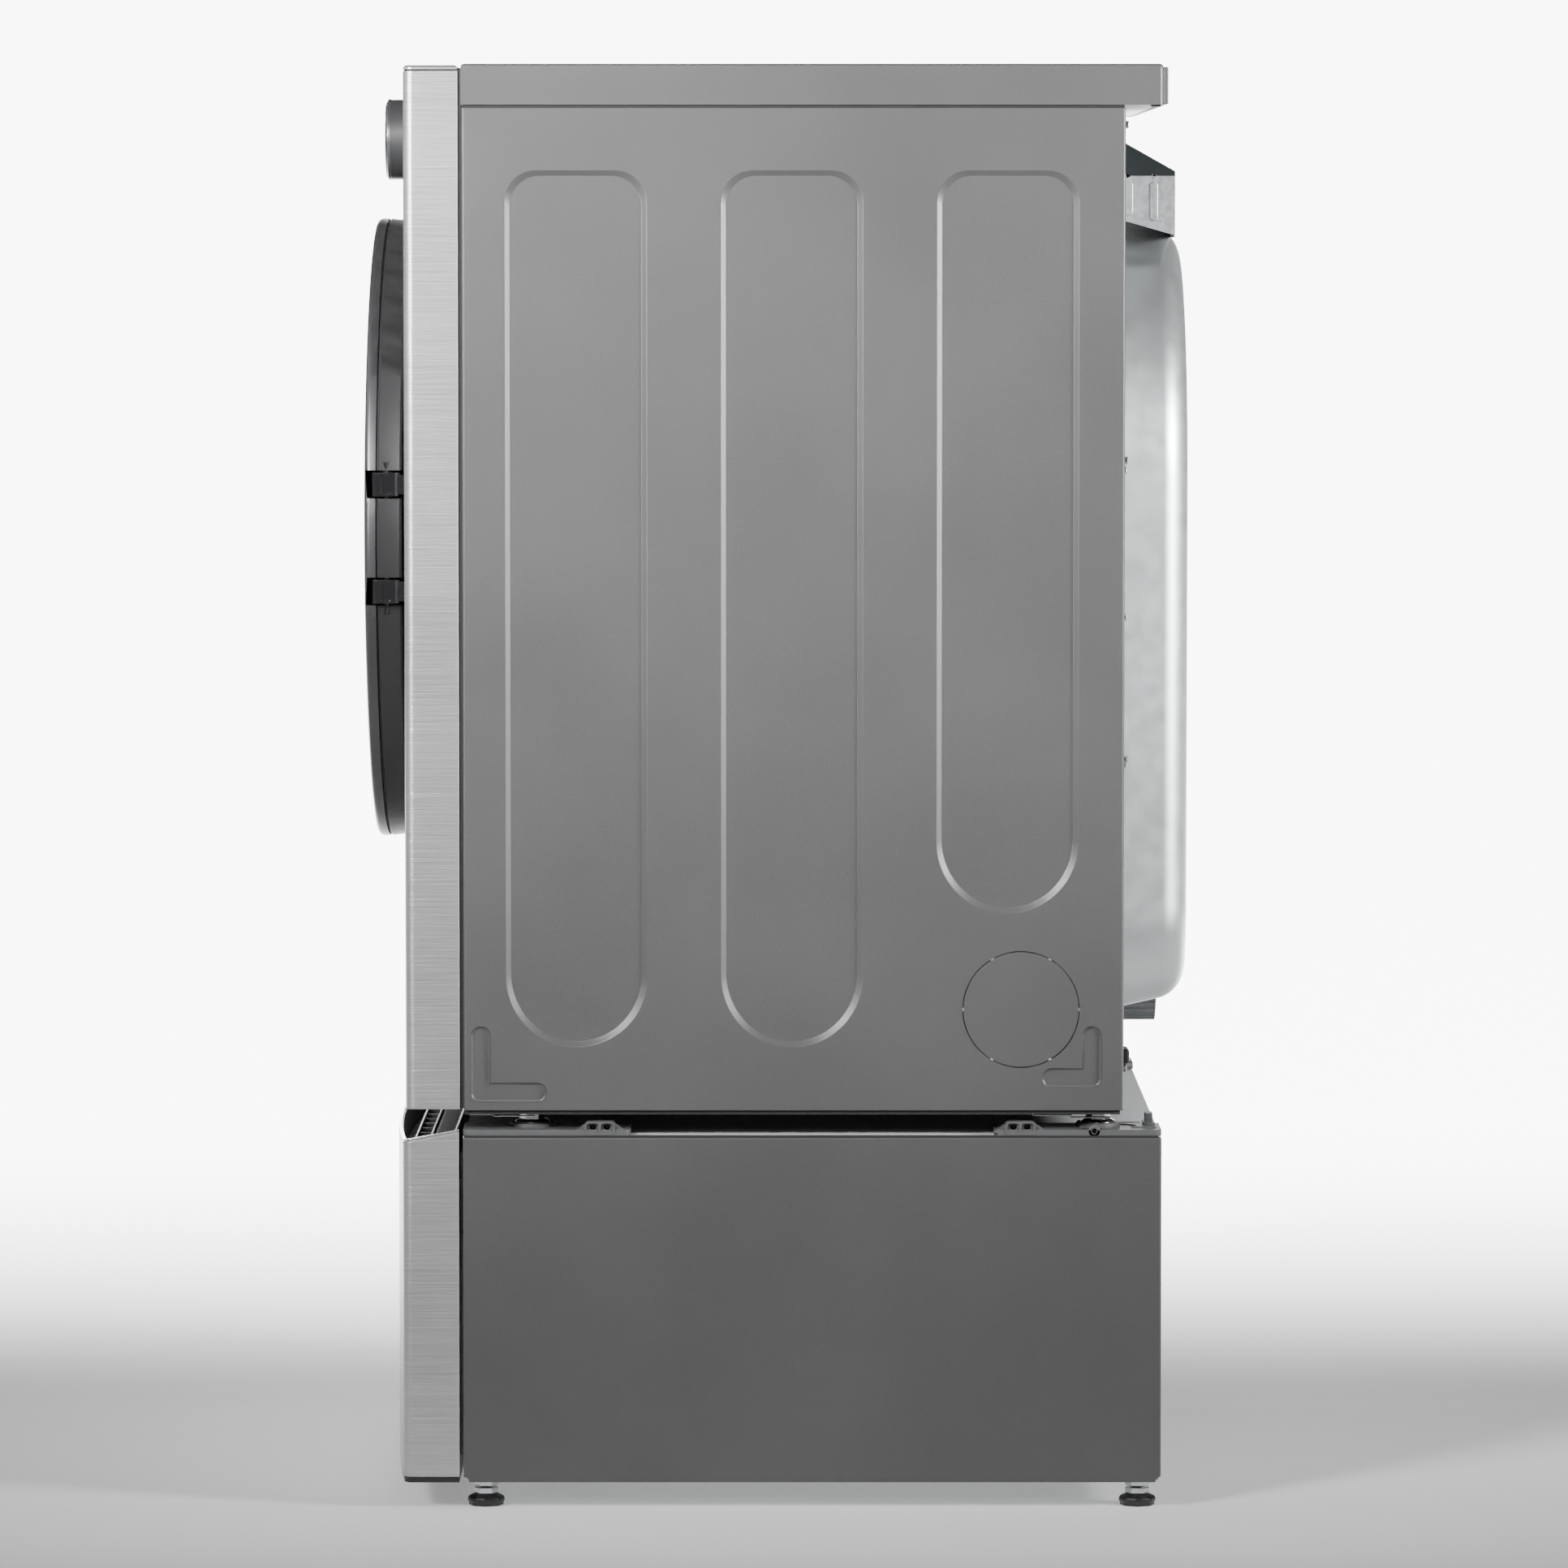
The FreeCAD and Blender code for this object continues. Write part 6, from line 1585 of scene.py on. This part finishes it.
    def rear_extras(self, rail: bpy.types.Object, end: Vector, top: float) -> list[bpy.types.Object]:
        """The ear, slotted plate and hook of a rear bracket.

        Args:
            rail: the bracket's rail, which is cut for the ear's hole.
            end: the rail's outer rear lower corner.
            top: the height of the hook.

        Returns:
            The added pieces.
        """
        face, y1, z = end
        thick = self.bracket_thick
        spot = (face - 0.004, y1 - 0.062, z + 0.0048)
        ear = Bench.bar("ear", Axis.X, spot, 0.0058, -0.008, 0.004, 32)
        Bench.combine(ear, [Bench.bar("eye", Axis.X, spot, 0.0024, -0.02, 0.02, 24)])
        Bench.combine(rail, [Bench.bar("eye", Axis.X, spot, 0.0024, -0.004, 0.02, 24)])
        plate = Bench.slab("plate", (face - 0.078, y1 - 0.075, z + 0.001),
                           (face - 0.02, y1 - 0.004, z + thick + 0.001))
        Bench.combine(plate, [
            Bench.slab("slot", (face - 0.060, y1 - 0.048, z), (face - 0.052, y1 - 0.018, z + 0.02)),
            Bench.slab("slot", (face - 0.045, y1 - 0.045, z), (face - 0.038, y1 - 0.030, z + 0.02)),
            Bench.bar("dish", Axis.Z, (face - 0.030, y1 - 0.034, z + thick), 0.012, -0.002, PAST, 40)])
        hook = Bench.slab("hook", (face - 0.052, y1 - 0.014, z + 0.004), (face - 0.032, y1 - 0.007, top))
        foot = Bench.slab("hook_foot", (face - 0.054, y1 - 0.016, z + 0.004), (face - 0.030, y1 - 0.005, z + 0.010))
        return [ear, plate, hook, foot]

    def top_seams(self) -> None:
        """Models a black strip between the brackets and the top edge of each side: painted shade in the gap."""
        low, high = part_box("pedestal_cabinet")
        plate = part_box("pedestal_brackets")[0].z
        for name, x0, x1 in (("left", low.x + 0.0005, low.x + 0.005), ("right", high.x - 0.005, high.x - 0.0005)):
            strip = Bench.slab(f"pedestal_seam_{name}", (x0, low.y + 0.001, high.z - 0.0012),
                               (x1, high.y - 0.003, plate + 0.0007))
            dress(Bench.soften(strip, 0.0002, 1), SHADE_BLACK)

    def brackets(self) -> None:
        """Models all four stacking brackets, their screws and sockets."""
        right = Bench.join(self.bracket(True) + self.bracket(False) + self.sockets(), "stacking_brackets_right")
        left = Bench.copy(right, "stacking_brackets_left", mirror=True)
        dress(right, CAST_GREY, nodes=["pedestal_brackets"])
        dress(left, CAST_GREY)
        low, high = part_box("bracket_screws")
        bracket_low, bracket_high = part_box("pedestal_brackets")
        profile = [(0.0026, -0.004), (0.0026, 0.001), (0.0016, 0.0022), (0.0006, 0.0022)]
        heads = []
        for middle in (low.y + self.screw_reach, high.y - self.screw_reach):
            for side in (-1, 1):
                spot = (bracket_high.x - 0.009, middle + side * self.screw_apart, bracket_low.z + 0.0082)
                heads.append(Bench.soften(Bench.turned("screw", Axis.X, spot, profile, 24), 0.0002, 1))
        right_screws = Bench.join(heads, "bracket_screws_right")
        left_screws = Bench.copy(right_screws, "bracket_screws_left", mirror=True)
        dress(right_screws, BLACK_PLASTIC, nodes=["bracket_screws"])
        dress(left_screws, BLACK_PLASTIC)

    def sockets(self) -> list[bpy.types.Object]:
        """Rings on the brackets that hold the machine's right-hand feet.

        Returns:
            The two rings.
        """
        low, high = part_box("machine_feet")
        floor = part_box("pedestal_brackets")[0].z + self.bracket_thick
        profile = [(0.0205, -0.001), (0.0205, 0.003), (0.0195, 0.004), (0.018, 0.004)]
        rings = []
        for y in (low.y + self.foot_r, high.y - self.foot_r):
            centre = (high.x - self.foot_r, y, floor)
            ring = Bench.turned("socket", Axis.Z, centre, profile, 64)
            Bench.combine(ring, [Bench.bar("bore", Axis.Z, centre, 0.0166, -PAST, PAST, 64)])
            rings.append(Bench.soften(ring, 0.0004, 2, 35))
        return rings

    def machine_feet(self) -> None:
        """Models the machine's own four feet."""
        low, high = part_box("machine_feet")
        round_pad = [(0.0150, 0), (self.foot_r, 0.001), (self.foot_r, 0.0045), (0.013, 0.0065), (0.008, 0.0070)]
        hexagon = [(0.0108, 0.006), (0.0113, 0.007), (0.0113, 0.0132), (0.0108, 0.0138)]
        pieces = []
        for x in (low.x + self.foot_r, high.x - self.foot_r):
            for y in (low.y + self.foot_r, high.y - self.foot_r):
                spot = (x, y, low.z)
                pad = Bench.turned("pad", Axis.Z, spot, round_pad, 48)
                nut = Bench.turned("nut", Axis.Z, spot, hexagon, 6)
                stud = Bench.turned("stud", Axis.Z, spot, self.thread(self.stud_r, 0.0138, 0.034), 32)
                pieces += [Bench.soften(pad, 0.0004), Bench.soften(nut, 0.0003), Bench.soften(stud, 0)]
        dress(Bench.join(pieces, "machine_feet_set"), ZINC, nodes=["machine_feet"])

    def thread(self, radius: float, start: float, end: float) -> list[tuple[float, float]]:
        """A stud's profile with rings for its thread.

        Args:
            radius: outer radius.
            start: where it starts along the axis.
            end: where it ends.

        Returns:
            The profile.
        """
        pitch = self.pitch
        turns = int((end - start) / pitch)
        profile = []
        for turn in range(turns):
            offset = start + pitch * turn
            profile += [(radius - 0.0007, offset), (radius, offset + pitch / 2)]
        return profile + [(radius - 0.0007, start + pitch * turns)]

    def feet(self) -> None:
        """Models the four levelling feet and their lock nuts."""
        nuts = []
        nut_low, nut_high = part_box("foot_locknuts")
        tall = nut_high.z - nut_low.z
        hexagon = [(0.0104, 0.0106), (0.01125, 0.0115), (0.01125, 0.0163), (0.0104, 0.0170), (0.0070, 0.0172)]
        nut_profile = [(0.0104, 0), (0.01125, 0.0009), (0.01125, tall - 0.0009), (0.0104, tall)]
        for node in ("foot_front_left", "foot_front_right", "foot_rear_left", "foot_rear_right"):
            low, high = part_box(node)
            x, y = (low.x + high.x) / 2, (low.y + high.y) / 2
            radius = (high.x - low.x) / 2
            pad = Bench.turned(f"{node}_pad", Axis.Z, (x, y, 0), [
                (radius * 0.86, 0.0), (radius * 0.94, 0.0006), (radius * 0.94, 0.0030), (radius, 0.0042),
                (radius, 0.0068), (radius * 0.93, 0.0086), (radius * 0.70, 0.0104), (radius * 0.56, 0.0110)], 8)
            Bench.round_edges(pad, 0.004, 4, lambda a, b: (a - b).z ** 2 > 0.2 * (a - b).length_squared)
            dress(Bench.soften(pad, 0.0005, 2), BLACK_PLASTIC, node, [node])
            hexed = Bench.turned("hex", Axis.Z, (x, y, 0), hexagon, 6)
            stud = Bench.turned("stud", Axis.Z, (x, y, 0), self.thread(self.stud_r, 0.0170, high.z), 32)
            dress(Bench.join([Bench.soften(hexed, 0.0003), Bench.soften(stud, 0)], f"{node}_stud"), ZINC, node)
            nut = Bench.turned("nut", Axis.Z, (x, y, nut_low.z), nut_profile, 6)
            Bench.combine(nut, [Bench.bar("bore", Axis.Z, (x, y, nut_low.z), 0.0053, -0.01, 0.03, 32)])
            nuts.append(Bench.soften(nut, 0.0003))
        dress(Bench.join(nuts, "lock_nuts"), ZINC, nodes=["foot_locknuts"])

    def build(self) -> None:
        """Builds the pedestal."""
        self.cabinet()
        self.drawer_front()
        self.top_seams()
        self.brackets()
        self.machine_feet()
        self.feet()


# ---------------------------------------------------------------- inside
@dataclass
class Inside:
    """Finishes for the imported nodes that keep their shape, the drum's visible furniture among them."""

    # The base pan gets the near-black copy of the galvanised finish: painted shade under the machine.
    kept: dict[str, Finish] = field(default_factory=lambda: {
        "display_window": DISPLAY, "rear_panel": GALVANISED, "base_pan": PAN_PAINTED_SHADE,
        "front_bulkhead": GALVANISED, "mouth_tunnel": GALVANISED,
        "rear_bulkhead": DRUM_STEEL, "drum_seals": FELT, "drum_shell": DRUM_STEEL, "drum_lifters": GREY_PLASTIC,
        "roller_left": RUBBER, "roller_right": RUBBER, "roller_shafts": ZINC, "drive_belt": RUBBER,
        "idler_pulley": GREY_PLASTIC, "idler_arm": ZINC, "motor_body": STEEL, "motor_shaft": STEEL,
        "blower_wheel": GREY_PLASTIC, "blower_housing": BLACK_PLASTIC, "lint_duct": GREY_PLASTIC,
        "lint_filter": GREY_PLASTIC, "heater_box": GALVANISED, "control_board": BOARD, "door_bowl": CLEAR_GLASS,
        "door_latch": BLACK_PLASTIC, "pedestal_base": GALVANISED, "pedestal_top_frame": PALE_PLATE,
        "drawer_box": GALVANISED, "slide_outers": ZINC, "slide_middles": ZINC, "slide_inners": ZINC})

    def build(self) -> None:
        """Gives each kept node its finish."""
        for name, finish in self.kept.items():
            node = frame["nodes"][name]
            node.data.materials.clear()
            node.data.materials.append(Paints.get(finish))
            LOG.info("%s keeps its shape", name)


# ---------------------------------------------------------------- studio
@dataclass
class Studio:
    """Camera, lights and the pale floor."""

    eye: tuple[float, float, float] = (7.843, 0.010, 1.15945)
    tilt: float = 3.728
    lens: float = 188.2
    air: float = 0.11
    white: float = 9.0
    floor_size: float = 24.0
    floor_glow: float = 0.03
    glow_start: float = -0.4
    glow_full: float = -3.0
    glow_width: tuple[float, float] = (2.6, 4.2)
    cone: tuple[float, float] = (0.972, 0.990)
    floor_tones: tuple[float, float, float, float] = (0.5, 1.3, 0.8, 0.30)
    lamps: tuple = (
        ("key", (2.7, -2.0, 2.2), (0.34, -0.25, 1.32), 1.0, 44, 29),
        ("upper", (8.5, -1.2, 4.2), (0.34, 0.0, 1.2), 2.4, 18, 2.2),
        ("front", (-0.6, -4.5, 3.0), (0.0, -0.3, 0.8), 2.4, 120, 18),
        ("rear", (1.5, 2.9, 1.5), (0.2, 0.36, 1.0), 0.8, 44, 18))

    def camera(self) -> None:
        """Makes the camera, level with the machine's upper part and tilted slightly down."""
        data = bpy.data.cameras.new("camera")
        data.sensor_width = 36.0
        data.lens = self.lens
        data.clip_end = 100.0
        camera = bpy.data.objects.new("camera", data)
        camera.location = self.eye
        camera.rotation_euler = (math.radians(90 - self.tilt), 0.0, math.radians(90))
        bpy.context.scene.collection.objects.link(camera)
        bpy.context.scene.camera = camera

    def light(self, name: str, spot: Sequence[float], aim: Sequence[float], size: float, spread: float,
              watts: float) -> None:
        """Makes one soft square light.

        Args:
            name: its name.
            spot: its place.
            aim: the point that it faces.
            size: its side.
            spread: how widely it shines, in degrees.
            watts: its power.
        """
        data = bpy.data.lights.new(name, "AREA")
        data.size = size
        data.spread = math.radians(spread)
        data.energy = watts
        lamp = bpy.data.objects.new(name, data)
        lamp.location = spot
        lamp.rotation_euler = (Vector(spot) - Vector(aim)).to_track_quat("Z", "Y").to_euler()
        bpy.context.scene.collection.objects.link(lamp)

    def backdrop(self) -> None:
        """Makes the pale floor, which brightens behind the machine into the white of the room."""
        graph = Graph(bpy.data.materials.new("studio floor white"))
        place = graph.add("ShaderNodeTexCoord", {}, {}, "Object")
        across = graph.add("ShaderNodeSeparateXYZ", {}, {0: place}, 0)
        sideways = graph.add("ShaderNodeSeparateXYZ", {}, {0: place}, 1)
        aside = graph.add("ShaderNodeMath", {"operation": "ABSOLUTE"}, {0: sideways})
        near, far = self.glow_width
        middle = graph.add("ShaderNodeMapRange", {"interpolation_type": "SMOOTHSTEP"},
                           {0: aside, 1: near, 2: far, 3: 1.0, 4: 0.0})
        rise = graph.add("ShaderNodeMapRange", {"interpolation_type": "SMOOTHSTEP"},
                         {0: across, 1: self.glow_start, 2: self.glow_full, 3: 0.0, 4: 1.0})
        glow = rise * middle + self.floor_glow
        tone = graph.add("ShaderNodeCombineColor", {}, {0: glow, 1: glow, 2: glow})
        start, end, pale, dim = self.floor_tones
        paint = graph.add("ShaderNodeMapRange", {"interpolation_type": "SMOOTHSTEP"},
                          {0: across, 1: start, 2: end, 3: pale, 4: dim})
        base = graph.add("ShaderNodeCombineColor", {}, {0: paint, 1: paint, 2: paint})
        shader = graph.raw("ShaderNodeBsdfPrincipled", {}, {
            "Base Color": base, "Roughness": 0.95, "Emission Color": tone,
            "Emission Strength": self.white})
        bpy.ops.object.select_all(action="DESELECT")
        bpy.ops.mesh.primitive_plane_add(size=self.floor_size, location=(0, 0, 0))
        floor = bpy.context.object
        floor.name = "studio_floor"
        floor.data.materials.append(graph.output(shader))

    def world(self) -> None:
        """Fills the room with grey light that turns white behind the machine."""
        graph = Graph(bpy.data.worlds.new("studio air"))
        ray = graph.add("ShaderNodeTexCoord", {}, {}, "Generated")
        away = graph.add("ShaderNodeVectorMath", {"operation": "DOT_PRODUCT"}, {0: ray, 1: (-1, 0, 0)}, "Value")
        glow = graph.add("ShaderNodeMapRange", {"interpolation_type": "SMOOTHSTEP"},
                         {0: away, 1: self.cone[0], 2: self.cone[1], 3: self.air, 4: self.white})
        tone = graph.add("ShaderNodeCombineColor", {}, {0: glow, 1: glow, 2: glow})
        shader = graph.raw("ShaderNodeBackground", {}, {"Color": tone, "Strength": 1.0})
        bpy.context.scene.world = graph.output(shader, "ShaderNodeOutputWorld")

    def build(self) -> None:
        """Sets up the whole studio."""
        self.camera()
        self.world()
        self.backdrop()
        for lamp in self.lamps:
            self.light(*lamp)


def main() -> None:
    """Builds everything in order."""
    logging.basicConfig(level=logging.INFO, format="%(name)s %(message)s")
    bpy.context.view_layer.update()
    Studio().build()
    Inside().build()
    Cabinet().build()
    Front().build()
    Door().build()
    Rear().build()
    Pedestal().build()


if __name__ == "__main__":
    main()
